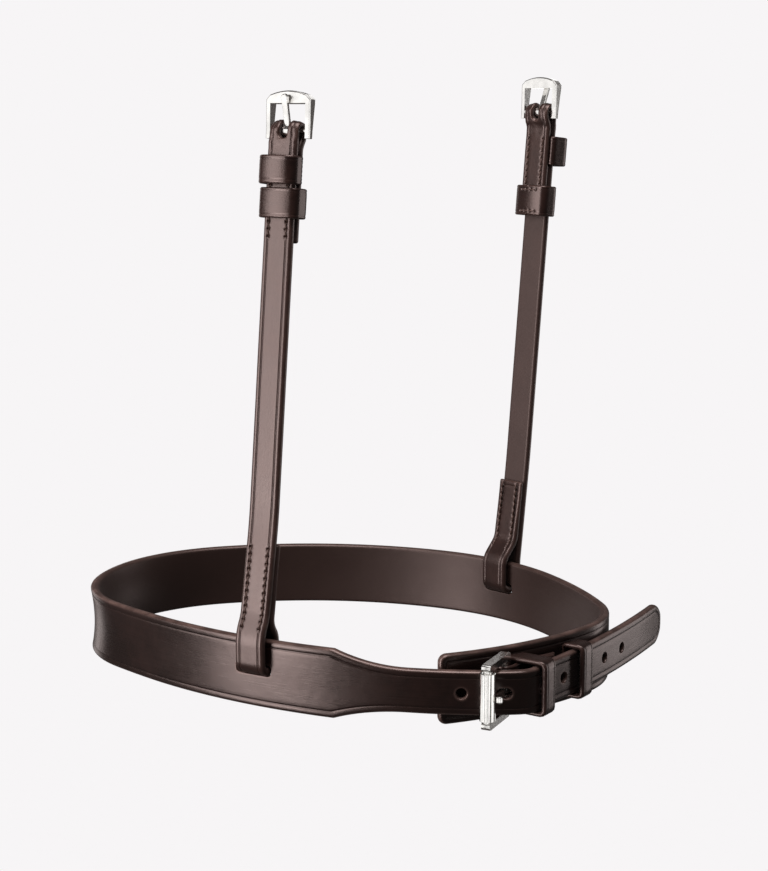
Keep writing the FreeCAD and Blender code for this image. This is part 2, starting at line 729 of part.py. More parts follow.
# ---------------------------------------------------------------------------------------------
# Cheek straps
# ---------------------------------------------------------------------------------------------
class Cheek:
    """Places of one cheek strap, in its own upright frame on the slot: y outward, z up."""

    def __init__(self, side):
        data = CHEEKS[side]
        self.side = side
        self.data = data
        slot = band_state(data["slot_along"])
        turn = FreeCAD.Rotation(Vector(0, 0, 1), data["azimuth"])
        middle = FreeCAD.Placement(Vector(slot[0], slot[1], 0), turn)
        self.base = middle.multiply(FreeCAD.Placement(Vector(data["side_shift"], 0, 0), FreeCAD.Rotation()))
        self.ply = size("cheek_ply")
        self.stack = self.ply + size("cheek_ply_gap")
        self.low_heading = 90.0 - data["low_lean"]
        self.top_heading = 90.0 - data["top_lean"]
        self.plan_outer_ply()
        self.plan_inner_ply()

    def plan_outer_ply(self):
        """Path from the turn in the slot up the outer ply, over the buckle's bar and back down."""
        radius = size("cheek_turn_radius")
        self.start = (size("cheek_turn_start"), size("cheek_turn_level"), 0.0)
        path = [(size("cheek_turn_flat") / 2, 0.0), (radius * math.pi / 2, 90.0)]
        path.append((size("cheek_rise_outer"), 0.0))
        pinch = self.data["pinch"]
        low_turn = -self.data["low_lean"]
        if pinch:
            radius = size("cheek_pinch_radius")
            path.append((radius * math.radians(pinch + low_turn), pinch + low_turn))
            path.append((radius * math.radians(pinch), -pinch))
        else:
            path.append((size("cheek_bend_radius") * math.radians(abs(low_turn)), low_turn))
        state = walk(self.start, path)[-1]
        self.double_start = state
        path.append(((size("double_top") - state[1]) / math.sin(math.radians(self.low_heading)), 0.0))
        change = self.top_heading - self.low_heading
        path.append((size("cheek_change_length"), change))
        state = walk(self.start, path)[-1]
        fold = size("cheek_bar_radius") + size("cheek_ply_gap") + self.ply / 2
        bend = size("cheek_fold_bend")
        bend_radius = (2 * fold - self.stack) / (2 * (1 - math.cos(math.radians(bend))))
        bend_length = bend_radius * math.radians(bend)
        bend_height = 2 * bend_radius * math.sin(math.radians(bend))
        rise = (self.data["bar_level"] - state[1]) / math.sin(math.radians(self.top_heading))
        path.append((rise, 0.0))
        path.append((fold * math.pi, 180.0))
        path += [(bend_length, bend), (bend_length, -bend)]
        path.append((size("fold_back_length") - bend_height, 0.0))
        self.outer_path = path
        plies_middle = shifted(step(state, rise, 0.0), self.stack / 2)
        self.top = Vector(0, plies_middle.x, plies_middle.y)
        self.bar_inset = fold - self.stack / 2

    def plan_inner_ply(self):
        """Path from the turn up inside the band and over to lie against the outer ply."""
        radius = size("cheek_turn_radius")
        bend = self.data["turn_up_bend"]
        back = bend - self.data["low_lean"]
        start = (self.start[0], self.start[1], 180.0)
        bend_radius = size("cheek_cross_radius")
        path = [(size("cheek_turn_flat") / 2, 0.0), (radius * math.pi / 2, -90.0)]
        path.append((size("cheek_rise_inner"), 0.0))
        path.append((bend_radius * math.radians(bend), -bend))
        turned = (bend_radius * math.radians(back), back)
        state = walk(start, path + [turned])[-1]
        normal = math.radians(self.low_heading + 90)
        gap = (self.double_start[0] - state[0]) * math.cos(normal)
        gap += (self.double_start[1] - state[1]) * math.sin(normal)
        slope = math.radians(back)
        path.append(((-gap - self.stack) / math.sin(slope), 0.0))
        path.append(turned)
        state = walk(start, path)[-1]
        path.append(((size("turn_up_top") - state[1]) / math.sin(math.radians(self.low_heading)), 0.0))
        self.inner_start = start
        self.inner_path = path

    def across_double(self, start, path, up):
        """How far a ply's middle stands outward of the sewn plies' middle, at a height in their frame."""
        middle = shifted(self.double_start, self.stack / 2)
        lean = math.radians(self.low_heading)
        length = sum(stretch for stretch, turn in path)
        nearest = None
        for share in range(401):
            x, y, heading = along(start, path, length * share / 400)
            height = (x - middle.x) * math.cos(lean) + (y - middle.y) * math.sin(lean)
            outward = (x - middle.x) * math.sin(lean) - (y - middle.y) * math.cos(lean)
            if nearest is None or abs(height - up) < nearest[0]:
                nearest = (abs(height - up), outward)
        return nearest[1]

    def top_frame(self):
        """Frame between the plies at the level of the buckle's bar: y outward and z along the strap."""
        lean = FreeCAD.Rotation(Vector(1, 0, 0), -self.data["top_lean"])
        return self.base.multiply(FreeCAD.Placement(self.top, lean))

    def bar_frame(self, side_shift=0.0):
        """Frame on the buckle's bar, which lies inside of the plies' middle."""
        inset = FreeCAD.Placement(Vector(side_shift, -self.bar_inset, 0), FreeCAD.Rotation())
        return self.top_frame().multiply(inset)

    def double_frame(self):
        """Frame between the sewn plies above the band: y outward and z along the strap."""
        middle = shifted(self.double_start, self.stack / 2)
        lean = FreeCAD.Rotation(Vector(1, 0, 0), -self.data["low_lean"])
        return self.base.multiply(FreeCAD.Placement(Vector(0, middle.x, middle.y), lean))


def build_cheek_strap(cheek):
    body = new_body("cheek_strap_" + cheek.side)
    half = cheek.ply / 2
    inner_states = walk(cheek.inner_start, cheek.inner_path)
    end = inner_states[-1]
    path = [(length, -turn) for length, turn in reversed(cheek.inner_path)] + cheek.outer_path
    edges = strip((end[0], end[1], end[2] + 180), path, half, -half)
    pad(body, "strap", new_sketch(body, "strap_profile", "YZ_Plane", edges), "sizes.cheek_width", True)
    offset = top_offset(cheek)
    slot = size("fold_slot_width") / 2
    top = size("cheek_bar_radius") + cheek.ply + 1
    edges = rounded_box(-slot, slot, -size("fold_slot_depth"), top, slot - 0.1)
    pocket(body, "tongue_slot", new_sketch(body, "tongue_slot_profile", "XZ_Plane", edges, offset),
           "sizes.cheek_ply * 5")
    leg = size("keeper_leg") / 2 + size("sewn_gap")
    low = cheek.data["keeper_middle"] - cheek.data["keeper_height"] / 2 - size("sewn_gap") * 2
    high = cheek.data["keeper_middle"] + cheek.data["keeper_height"] / 2 + size("sewn_gap") * 2
    edges = polygon([(-leg, low), (leg, low), (leg, high), (-leg, high)])
    sketch = new_sketch(body, "keeper_seat_profile", "YZ_Plane", edges, top_side_offset(cheek))
    pocket(body, "keeper_seat", sketch, "sizes.cheek_width * 2")
    body.Placement = cheek.base
    return body


def top_offset(cheek):
    """Offset from the body's XZ plane to the buckle's leaning plane, x across and y up the strap."""
    lean = FreeCAD.Rotation(Vector(1, 0, 0), -cheek.data["top_lean"])
    return FreeCAD.Placement(Vector(0, cheek.top.z, -cheek.top.y), lean)


def top_side_offset(cheek):
    """Offset from the body's YZ plane to the buckle's leaning side plane."""
    lean = FreeCAD.Rotation(Vector(0, 0, 1), -cheek.data["top_lean"])
    return FreeCAD.Placement(Vector(cheek.top.y, cheek.top.z, 0), lean)


def build_fixed_keeper(cheek, stack):
    """Ring round the outer ply, its thin inner side sewn between the plies."""
    body = new_body("fixed_keeper_" + cheek.side)
    leg = size("keeper_leg") / 2
    half = size("cheek_width") / 2 + size("fixed_keeper_room")
    leather = size("fixed_keeper_leather")
    high = stack + cheek.data["keeper_stand"]
    corner = size("fixed_ring_corner")
    outer = rounded_box(-half - leather, half + leather, -leg, high + leather,
                        corner + leather * size("ring_corner_growth"), size("fixed_ring_foot"))
    inner = rounded_box(-half, half, leg, high, corner, size("fixed_keeper_room"))
    low = raised(cheek.data["keeper_middle"] - cheek.data["keeper_height"] / 2)
    sketch = new_sketch(body, "ring_section", "XY_Plane", outer + inner, low)
    pad(body, "ring", sketch, "sizes.%s_keeper_height" % cheek.side)
    body.Placement = cheek.top_frame()
    return body


def build_runner(cheek, stack):
    """Loose ring round both plies, free to slide along the strap."""
    body = new_body("runner_keeper_" + cheek.side)
    half = size("cheek_width") / 2 + size("fixed_keeper_room") + size("runner_room")
    deep = stack + size("runner_room")
    leather = size("runner_leather")
    corner = size("ring_corner")
    outer = rounded_box(-half - leather, half + leather, -deep - leather, deep + leather,
                        corner + leather * size("ring_corner_growth"))
    inner = rounded_box(-half, half, -deep, deep, corner)
    low = raised(cheek.data["runner_middle"] - cheek.data["runner_height"] / 2)
    sketch = new_sketch(body, "ring_section", "XY_Plane", outer + inner, low)
    pad(body, "ring", sketch, "sizes.%s_runner_height" % cheek.side)
    body.Placement = cheek.top_frame()
    return body


def build_cheek_frame(cheek):
    """Flat buckle frame with an arched top; its arms get thinner towards the bar."""
    body = new_body("cheek_buckle_frame_" + cheek.side)
    outside = size("cheek_buckle_width") / 2
    inside = size("cheek_buckle_opening") / 2
    top = size("cheek_buckle_top")
    arch_foot = top - size("cheek_top_bar_middle") + size("cheek_top_bar_end")
    inner_top = top - size("cheek_top_bar_middle")
    shoulder = size("cheek_shoulder")
    low = -size("cheek_arm_drop")
    right_foot = Vector(outside - shoulder, arch_foot, 0)
    left_foot = Vector(-outside + shoulder, arch_foot, 0)
    corners = [
        left_foot,
        Vector(-outside, arch_foot - shoulder, 0),
        Vector(-outside, low, 0),
        Vector(-inside, low, 0),
        Vector(-inside, inner_top, 0),
        Vector(inside, inner_top, 0),
        Vector(inside, low, 0),
        Vector(outside, low, 0),
        Vector(outside, arch_foot - shoulder, 0),
        right_foot,
    ]
    edges = [Part.LineSegment(a, b) for a, b in zip(corners, corners[1:])]
    edges.append(Part.Arc(right_foot, Vector(0, top, 0), left_foot))
    pad(body, "plate", new_sketch(body, "outline", "XZ_Plane", edges), "sizes.cheek_frame_depth", True)
    for side in (1, -1):
        deep = side * size("cheek_frame_depth") / 2
        slim = side * size("cheek_arm_depth") / 2
        beyond = side * (size("cheek_frame_depth") / 2 + 1)
        foot = low - 1
        wedge = polygon([(slim, foot), (slim, 0), (deep, inner_top), (beyond, inner_top), (beyond, foot)])
        name = "arm_taper_%d" % (side + 1)
        sketch = new_sketch(body, name + "_side", "YZ_Plane", wedge)
        pocket(body, name, sketch, "sizes.cheek_buckle_width * 2")

    def face_edge(edge):
        middle = edge.CenterOfMass
        on_face = abs(abs(middle.y) - size("cheek_frame_depth") / 2) < 0.01
        return on_face and middle.z > inner_top + 0.5

    round_edges(body, "arch_rounding", size("cheek_arch_rounding"), face_edge)
    bar = new_sketch(body, "bar_section", "YZ_Plane", circle(0, 0, size("cheek_bar_radius")))
    pad(body, "bar", bar, "sizes.cheek_buckle_opening + 2 * sizes.cheek_bar_rooting", True)
    body.Placement = cheek.bar_frame(cheek.data["buckle_shift"])
    return body


def build_cheek_tongue(cheek):
    body = new_body("cheek_buckle_tongue_" + cheek.side)
    bore = size("cheek_bar_radius") + size("running_gap")
    eye = bore + size("cheek_tongue_eye_wall")
    half = size("cheek_tongue_width") / 2
    tip = size("cheek_tongue_tip_width") / 2
    tip_middle = size("cheek_tongue_reach") - tip
    waist = tip_middle - size("cheek_tongue_spread")
    root = (bore + eye) / 2
    corners = [(tip, tip_middle), (half, waist), (half, root)]
    corners += [(-x, z) for x, z in reversed(corners)]
    points = [Vector(x, z, 0) for x, z in corners]
    edges = [Part.LineSegment(a, b) for a, b in zip(points, points[1:])]
    end = Part.Circle(Vector(0, tip_middle, 0), Vector(0, 0, 1), tip)
    edges.append(Part.ArcOfCircle(end, 0, math.pi))
    sketch = new_sketch(body, "shank_face", "XZ_Plane", edges)
    pad(body, "shank", sketch, "sizes.cheek_tongue_thickness", True)

    def shank_edge(edge):
        return edge.CenterOfMass.z > waist / 2 and edge.Length > size("cheek_tongue_thickness") + 0.1

    round_edges(body, "shank_rounding", size("cheek_tongue_rounding"), shank_edge)
    pad(body, "eye", new_sketch(body, "eye_section", "YZ_Plane", circle(0, 0, eye)),
        "sizes.cheek_tongue_width + sizes.cheek_tongue_eye_spread", True)
    pocket(body, "eye_bore", new_sketch(body, "bore_section", "YZ_Plane", circle(0, 0, bore)),
           "sizes.cheek_tongue_width * 2")
    lean = FreeCAD.Rotation(Vector(1, 0, 0), -size("cheek_tongue_rest"))
    body.Placement = cheek.bar_frame().multiply(FreeCAD.Placement(Vector(0, 0, 0), lean))
    return body


def build_cheek(side):
    cheek = Cheek(side)
    stack = cheek.stack / 2 + cheek.ply / 2
    build_cheek_strap(cheek)
    build_fixed_keeper(cheek, stack)
    build_runner(cheek, stack)
    build_cheek_frame(cheek)
    build_cheek_tongue(cheek)

    column = size("cheek_width") / 2 - size("stitch_inset")
    pitch = size("stitch_pitch")
    count = int(size("cheek_stitch_count"))
    reach = cheek.ply / 2 + size("stitch_proud")
    rows = []
    foot = shifted(cheek.double_start, cheek.stack / 2).y
    for n in range(count):
        level = size("lower_stitch_top") - pitch * n
        up = (level - foot) / math.sin(math.radians(cheek.low_heading))
        low = cheek.across_double(cheek.inner_start, cheek.inner_path, up) - reach
        high = cheek.across_double(cheek.start, cheek.outer_path[:-5], up) + reach
        rows += [(x, low, high, up) for x in (-column, column)]
    pins("lower_stitching_" + side, rows, size("thread_radius"), cheek.double_frame())

    proud = stack + size("stitch_proud")
    first = size("upper_stitch_start") - size("fold_back_length")
    rows = [(x, -proud, proud, first + pitch * n) for x in (-column, column) for n in range(count - 1)]
    pins("upper_stitching_" + side, rows, size("thread_radius"), cheek.top_frame())

    edge = cheek.data["runner_height"] / 2 - size("runner_stitch_inset")
    across = [size("runner_stitch_pitch") * n for n in (-1.5, -0.5, 0.5, 1.5)]
    inside = stack + size("runner_room")
    outside = inside + size("runner_leather") + size("stitch_proud")
    inside += size("sewn_gap")
    rows = [(x, -outside, -inside, cheek.data["runner_middle"] + z) for z in (-edge, edge) for x in across]
    pins("runner_stitching_" + side, rows, size("thread_radius"), cheek.top_frame())


# ---------------------------------------------------------------------------------------------
# Building and writing
# ---------------------------------------------------------------------------------------------
build_noseband()
build_chape()
build_main_keeper("main_keeper_front", size("front_keeper_low"), size("front_keeper_inside"))
build_main_keeper("main_keeper_rear", size("rear_keeper_low"), size("rear_keeper_inside"))
build_buckle_frame()
build_roller()
build_main_tongue()
chape_levels = (BILLET_LOW + size("stitch_inset"), BILLET_LOW + size("billet_width") - size("stitch_inset"))
chape_outside = -CHAPE_INNER + 2 * size("chape_ply") + size("chape_stack_gap") + size("stitch_proud")
build_guard_stitching(
    "main_chape_stitching",
    [size("chape_stitch_along") + size("stitch_pitch") * n for n in range(int(size("chape_stitch_count")))],
    chape_levels,
    chape_outside,
)
build_guard_stitching(
    "main_keeper_stitching",
    [size("front_keeper_stitch_along"), size("rear_keeper_stitch_along")],
    (MIDDLE_LEVEL - size("keeper_stitch_half_spread"), MIDDLE_LEVEL + size("keeper_stitch_half_spread")),
    -LEG_OUTSIDE,
)
for side in CHEEKS:
    build_cheek(side)

doc.recompute()
parts = [item for item in doc.Objects if item.TypeId == "PartDesign::Body" or item.TypeId == "Part::Feature"]
for item in doc.Objects:
    for state in item.State:
        if state in ("Invalid", "Error"):
            raise RuntimeError("%s is %s" % (item.Name, state))
os.makedirs("parts", exist_ok=True)
for item in parts:
    if item.Shape.isNull() or not item.Shape.isValid():
        raise RuntimeError(item.Label + " has no valid shape")
for item in parts:
    item.Shape.exportStep(os.path.join("parts", item.Label + ".step"))
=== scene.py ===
from math import asin, atan2, ceil, cos, degrees, dist, hypot, pi, radians, sin

import bpy
import numpy as np
from mathutils import Matrix, Vector, geometry, noise

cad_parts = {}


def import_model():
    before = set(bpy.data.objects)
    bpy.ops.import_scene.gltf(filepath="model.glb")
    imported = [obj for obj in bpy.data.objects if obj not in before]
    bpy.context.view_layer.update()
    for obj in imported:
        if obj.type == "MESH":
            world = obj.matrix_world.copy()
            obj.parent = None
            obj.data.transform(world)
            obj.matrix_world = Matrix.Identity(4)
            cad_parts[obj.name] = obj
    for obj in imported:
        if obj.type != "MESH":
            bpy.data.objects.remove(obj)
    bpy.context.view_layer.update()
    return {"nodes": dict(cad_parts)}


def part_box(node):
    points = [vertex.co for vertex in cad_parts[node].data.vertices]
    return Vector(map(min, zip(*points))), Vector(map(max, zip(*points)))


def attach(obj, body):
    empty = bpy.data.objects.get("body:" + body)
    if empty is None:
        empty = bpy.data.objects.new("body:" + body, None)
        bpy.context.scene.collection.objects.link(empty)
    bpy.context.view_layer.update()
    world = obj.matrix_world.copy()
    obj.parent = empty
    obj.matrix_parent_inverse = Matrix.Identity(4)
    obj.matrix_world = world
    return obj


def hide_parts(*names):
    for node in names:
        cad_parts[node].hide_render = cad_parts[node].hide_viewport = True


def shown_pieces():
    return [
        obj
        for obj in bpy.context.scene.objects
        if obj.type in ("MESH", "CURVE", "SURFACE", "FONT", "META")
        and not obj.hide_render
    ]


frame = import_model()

# Looks of the leather noseband.  Every leather piece is cut flat, as an outline along (s) and
# across (t) its strip with an offset w from its middle surface, and then laid on the same chain
# of arcs as its CAD part.  w < 0 is the grain side and w > 0 the flesh side.  Lengths are in
# millimetres until a mesh is written; lamps, camera and modifiers are in metres.
MM = 0.001

# ---- Sizes shared with the CAD part ----
BAND_WIDTH = 25.4
LEATHER = 3.4
BILLET_WIDTH = 16.0
BILLET_LOW = (BAND_WIDTH - BILLET_WIDTH) / 2
MIDDLE_LEVEL = BAND_WIDTH / 2
GUARD_START = (70.9, -47.4, 51.0)
LOOP_STRETCHES = [
    (65.6, 29.1), (35.8, 55.8), (46.4, 15.9), (54.3, 35.4), (96.7, 40.6),
    (68.7, 62.7), (45.7, 52.8), (117.1, 32.0), (45.4, 19.1),
]
BILLET_STRETCHES = [(7.8, 5.0), (7.2, 53.0), (13.0, -9.0), (22.0, 4.5), (67.0, 9.0)]
TAPER_TO_BUCKLE = 57.9
TAPER_LENGTH = 26.9
GUARD_CORNER = 3.0
TIP_LENGTH = 7.0
TIP_FLAT = 2.4
TIP_BULGE = (2.5, 5.9)
HOLE_DIAMETER = 3.6
HOLE_PITCH = 14.6
TIP_TO_HOLE = 41.7
HOLE_COUNT = 7
WORN_HOLE = 5
WORN_LENGTH = 5.4
SLOT_LENGTH = 15.0
SLOT_HEIGHT = 4.4
SLOT_MIDDLE = 13.9
SLOT_CORNER = 1.3

CHAPE_PLY = 1.5
CHAPE_GAP = 0.1
CHAPE_ALONG = (22.3, 45.3)
CHAPE_BEND = 38.0
CHAPE_SHORTER = 1.5
REAR_BAR_RADIUS = 1.4
SEWN_GAP = 0.05
KEEPER_LEG = 1.0
KEEPER_LEATHER = 1.8

CHEEK_WIDTH = 12.0
CHEEK_PLY = 2.8
CHEEK_STACK = CHEEK_PLY + 0.1
TURN_RADIUS = 3.0
TURN_FLAT = 2.6
TURN_START = (-0.1, 13.9)
LOW_BEND_RADIUS = 30.0
PINCH_RADIUS = 16.0
CHANGE_LENGTH = 14.0
FOLD_BEND = 34.0
FOLD_RADIUS = 1.1 + 0.1 + CHEEK_PLY / 2
RISE_OUTER = 6.4
RISE_INNER = 6.9
CROSS_RADIUS = 7.0
TURN_UP_TOP = 58.5
DOUBLE_TOP = 61.0
LOWER_STITCH_TOP = 57.3
FOLD_BACK = 39.0
FOLD_SLOT_WIDTH = 3.3
FOLD_SLOT_DEPTH = 2.7
RUNNER_LEATHER = 1.5
RUNNER_ROOM = 0.45
FIXED_LEATHER = 1.6
FIXED_ROOM = 0.2
RING_CORNER = 1.3
FIXED_CORNER = 2.0
FIXED_LEG_CORNER = 0.8
KEEPER_CROWN = 13.0
KEEPER_CROWN_ROOM = 0.4
STITCH_PITCH = 2.6
STITCH_INSET = 2.3
STITCH_COUNT = 12
THREAD_RADIUS = 0.36
FINE_THREAD = 0.3
TOP_STITCH_START = 2.2
RUNNER_STITCH = 2.4
RUNNER_STITCH_INSET = 1.8
TURN_UP_PARING = 0.75
PARED_ALONG = (4.0, 26.0)
FOLD_PARING = 0.5
SEAT_ROOM = 0.2
SEAT_SLOPE = 0.6

CHEEKS = {
    "left": {
        "slot": 486.3, "shift": -0.8, "azimuth": 181.5, "low_lean": -10.2, "top_lean": -6.3,
        "pinch": 18.0, "turn_up_bend": 34.0, "bar_level": 203.5, "keeper": -13.8,
        "keeper_height": 10.0, "keeper_stand": 2.5, "runner": -25.2, "runner_height": 10.6,
    },
    "right": {
        "slot": 175.1, "shift": 0.0, "azimuth": -13.5, "low_lean": 6.8, "top_lean": 5.4,
        "pinch": 0.0, "turn_up_bend": 42.0, "bar_level": 209.2, "keeper": -15.4,
        "keeper_height": 11.6, "keeper_stand": 5.6, "runner": -35.8, "runner_height": 12.2,
    },
}


# ---- Paths ----
class Path:
    """Chain of tangent arcs, each (length, turn in degrees), from a state (x, y, heading)."""

    def __init__(self, start, stretches):
        x, y, heading = start[0], start[1], radians(start[2])
        rows = []
        self.length = 0.0
        for length, turn in stretches:
            bend = radians(turn) / length
            rows.append((self.length, x, y, heading, bend))
            chord = length * np.sinc(bend * length / 2 / pi)
            x += chord * cos(heading + bend * length / 2)
            y += chord * sin(heading + bend * length / 2)
            heading += bend * length
            self.length += length
        self.table = np.array(rows)
        self.end = (x, y, degrees(heading))

    def at(self, s):
        """x, y and heading in radians at distances s."""
        s = np.atleast_1d(np.asarray(s, float))
        row = np.clip(np.searchsorted(self.table[:, 0], s, side="right") - 1, 0, len(self.table) - 1)
        first, x, y, heading, bend = self.table[row].T
        u = s - first
        chord = u * np.sinc(bend * u / 2 / pi)
        middle = heading + bend * u / 2
        return x + chord * np.cos(middle), y + chord * np.sin(middle), heading + bend * u

    def state(self, s):
        x, y, heading = self.at(s)
        return float(x[0]), float(y[0]), degrees(float(heading[0]))

    def beside(self, s, offset):
        """Point at an offset to the left of the path."""
        x, y, heading = self.at(s)
        return float(x[0] - offset * np.sin(heading[0])), float(y[0] + offset * np.cos(heading[0]))

    def nearest(self, x, y, low, high):
        """Distance between low and high where the path passes closest to a point."""
        s = np.linspace(low, high, 2000)
        px, py, _ = self.at(s)
        return float(s[np.argmin((px - x) ** 2 + (py - y) ** 2)])


def reverse(stretches):
    return [(length, -turn) for length, turn in reversed(stretches)]


class Lay:
    """How a flat strip lies: its path runs in the plane of two directions, with a third across."""

    def __init__(self, path, matrix=Matrix.Identity(4), axes="XYZ"):
        self.path = path
        self.origin = np.array(matrix.translation)
        turn = np.array(matrix.to_3x3())
        self.ahead, self.aside, self.across = (turn[:, "XYZ".index(axis)] for axis in axes)

    def point(self, s, t, w):
        x, y, heading = self.path.at(s)
        x = x - w * np.sin(heading)
        y = y + w * np.cos(heading)
        t = np.atleast_1d(t)
        return self.origin + np.outer(x, self.ahead) + np.outer(y, self.aside) + np.outer(t, self.across)


# ---- Flat outlines ----
ARC_POINTS = 8
LONG_ARC_POINTS = 12


def arc_points(cx, cy, radius, first, last):
    angles = np.radians(np.linspace(first, last, ARC_POINTS))
    return [(cx + radius * cos(a), cy + radius * sin(a)) for a in angles]


def arc_through(a, b, c):
    """Points of the arc from a through b to c."""
    (ax, ay), (bx, by), (cx, cy) = a, b, c
    d = 2 * (ax * (by - cy) + bx * (cy - ay) + cx * (ay - by))
    sa, sb, sc = ax * ax + ay * ay, bx * bx + by * by, cx * cx + cy * cy
    ox = (sa * (by - cy) + sb * (cy - ay) + sc * (ay - by)) / d
    oy = (sa * (cx - bx) + sb * (ax - cx) + sc * (bx - ax)) / d
    first, last = atan2(ay - oy, ax - ox), atan2(cy - oy, cx - ox)
    last = first + (last - first + pi) % (2 * pi) - pi
    radius = hypot(ax - ox, ay - oy)
    angles = np.linspace(first, last, LONG_ARC_POINTS)
    return [(ox + radius * cos(v), oy + radius * sin(v)) for v in angles]


def rounded(low, high, corner):
    """Rectangle between two (s, t) corners with round corners."""
    (sl, tl), (sh, th) = low, high
    points = []
    for cx, cy, first in ((sh - corner, th - corner, 0), (sl + corner, th - corner, 90),
                          (sl + corner, tl + corner, 180), (sh - corner, tl + corner, 270)):
        points += arc_points(cx, cy, corner, first, first + 90)
    return points


def resample(points, pitch):
    """The outline counter-clockwise with no side longer than pitch; its own points are kept."""
    out = []
    for a, b in zip(points, points[1:] + points[:1]):
        length = dist(a, b)
        if length < 1e-4:
            continue
        count = max(1, ceil(length / pitch))
        out += [(a[0] + (b[0] - a[0]) * k / count, a[1] + (b[1] - a[1]) * k / count) for k in range(count)]
    loop = np.array(out)
    x, y = loop.T
    enclosed = (x * np.roll(y, -1) - np.roll(x, -1) * y).sum()
    return loop if enclosed > 0 else loop[::-1]


def distance_to(points, loop):
    """Distance of every point to a closed outline."""
    a, b = loop, np.roll(loop, -1, axis=0)
    side = b - a
    length2 = (side ** 2).sum(1)
    best = np.empty(len(points))
    chunk = 2000
    for first in range(0, len(points), chunk):
        p = points[first:first + chunk, None, :]
        u = np.clip(((p - a) * side).sum(2) / length2, 0, 1)
        near = a + u[..., None] * side
        best[first:first + chunk] = np.sqrt(((p - near) ** 2).sum(2).min(1))
    return best


def inside(points, loop):
    """Whether each point lies inside a closed outline."""
    a, b = loop, np.roll(loop, -1, axis=0)
    odd = np.zeros(len(points), bool)
    chunk = 4000
    for first in range(0, len(points), chunk):
        x, y = points[first:first + chunk, 0, None], points[first:first + chunk, 1, None]
        crosses = (a[:, 1] > y) != (b[:, 1] > y)
        with np.errstate(divide="ignore", invalid="ignore"):
            at = a[:, 0] + (y - a[:, 1]) * (b[:, 0] - a[:, 0]) / (b[:, 1] - a[:, 1])
        odd[first:first + chunk] = (crosses & (x < at)).sum(1) % 2 == 1
    return odd


def ring_round(loop, offset):
    """Points beside a counter-clockwise outline: inside it, or outside for a negative offset."""
    before, after = np.roll(loop, 1, axis=0), np.roll(loop, -1, axis=0)
    tangent = after - before
    tangent /= np.linalg.norm(tangent, axis=1)[:, None]
    return loop + offset * np.stack([-tangent[:, 1], tangent[:, 0]], 1)


def clear_of(points, cuts, gap):
    """Whether each point lies outside every cut by more than a gap."""
    clear = np.ones(len(points), bool)
    for cut in cuts:
        clear &= (distance_to(points, cut) > gap) & ~inside(points, cut)
    return clear


# ---- Leather meshes ----
RIM_RINGS = (0.03, 0.1, 0.2, 0.34, 0.52, 0.75, 1.0, 1.3)
HOLE_RINGS = (0.03, 0.09, 0.18, 0.3, 0.45, 0.65)
CREASE_RINGS = (-0.55, -0.36, -0.2, -0.08, 0.05, 0.2, 0.4, 0.62)
CREASE_WIDTH = 0.26
ROUNDING_POWER = 2.1
PIT_RADIUS = 0.5
PIT_RINGS = (0.25, 0.5, 0.8)
PIT_CLEAR = 1.1
RING_TOLERANCE = 0.03
RING_TO_CUT = 0.5
RING_TO_EDGE = 0.4
CUT_TO_CUT = 0.3
GRID_TO_EDGE = 0.35
GRID_TO_CUT = 0.3
TOUCHING = 1e-4
FAR = 1e3
LEG_SHAVE = 0.02


def rounding(distance, radius):
    """0 at an edge, 1 from radius on, round in between."""
    share = np.clip(distance / radius, 0, 1)
    return (1 - (1 - share) ** ROUNDING_POWER) ** (1 / ROUNDING_POWER)


def smooth(low, high, value):
    share = np.clip((value - low) / (high - low), 0, 1)
    return share * share * (3 - 2 * share)


def wave(s, t, size_s, size_t, seed):
    """Smooth random value between about -1 and 1 for each point."""
    return np.array([noise.noise(Vector((a / size_s, b / size_t, seed))) for a, b in zip(s, t)])


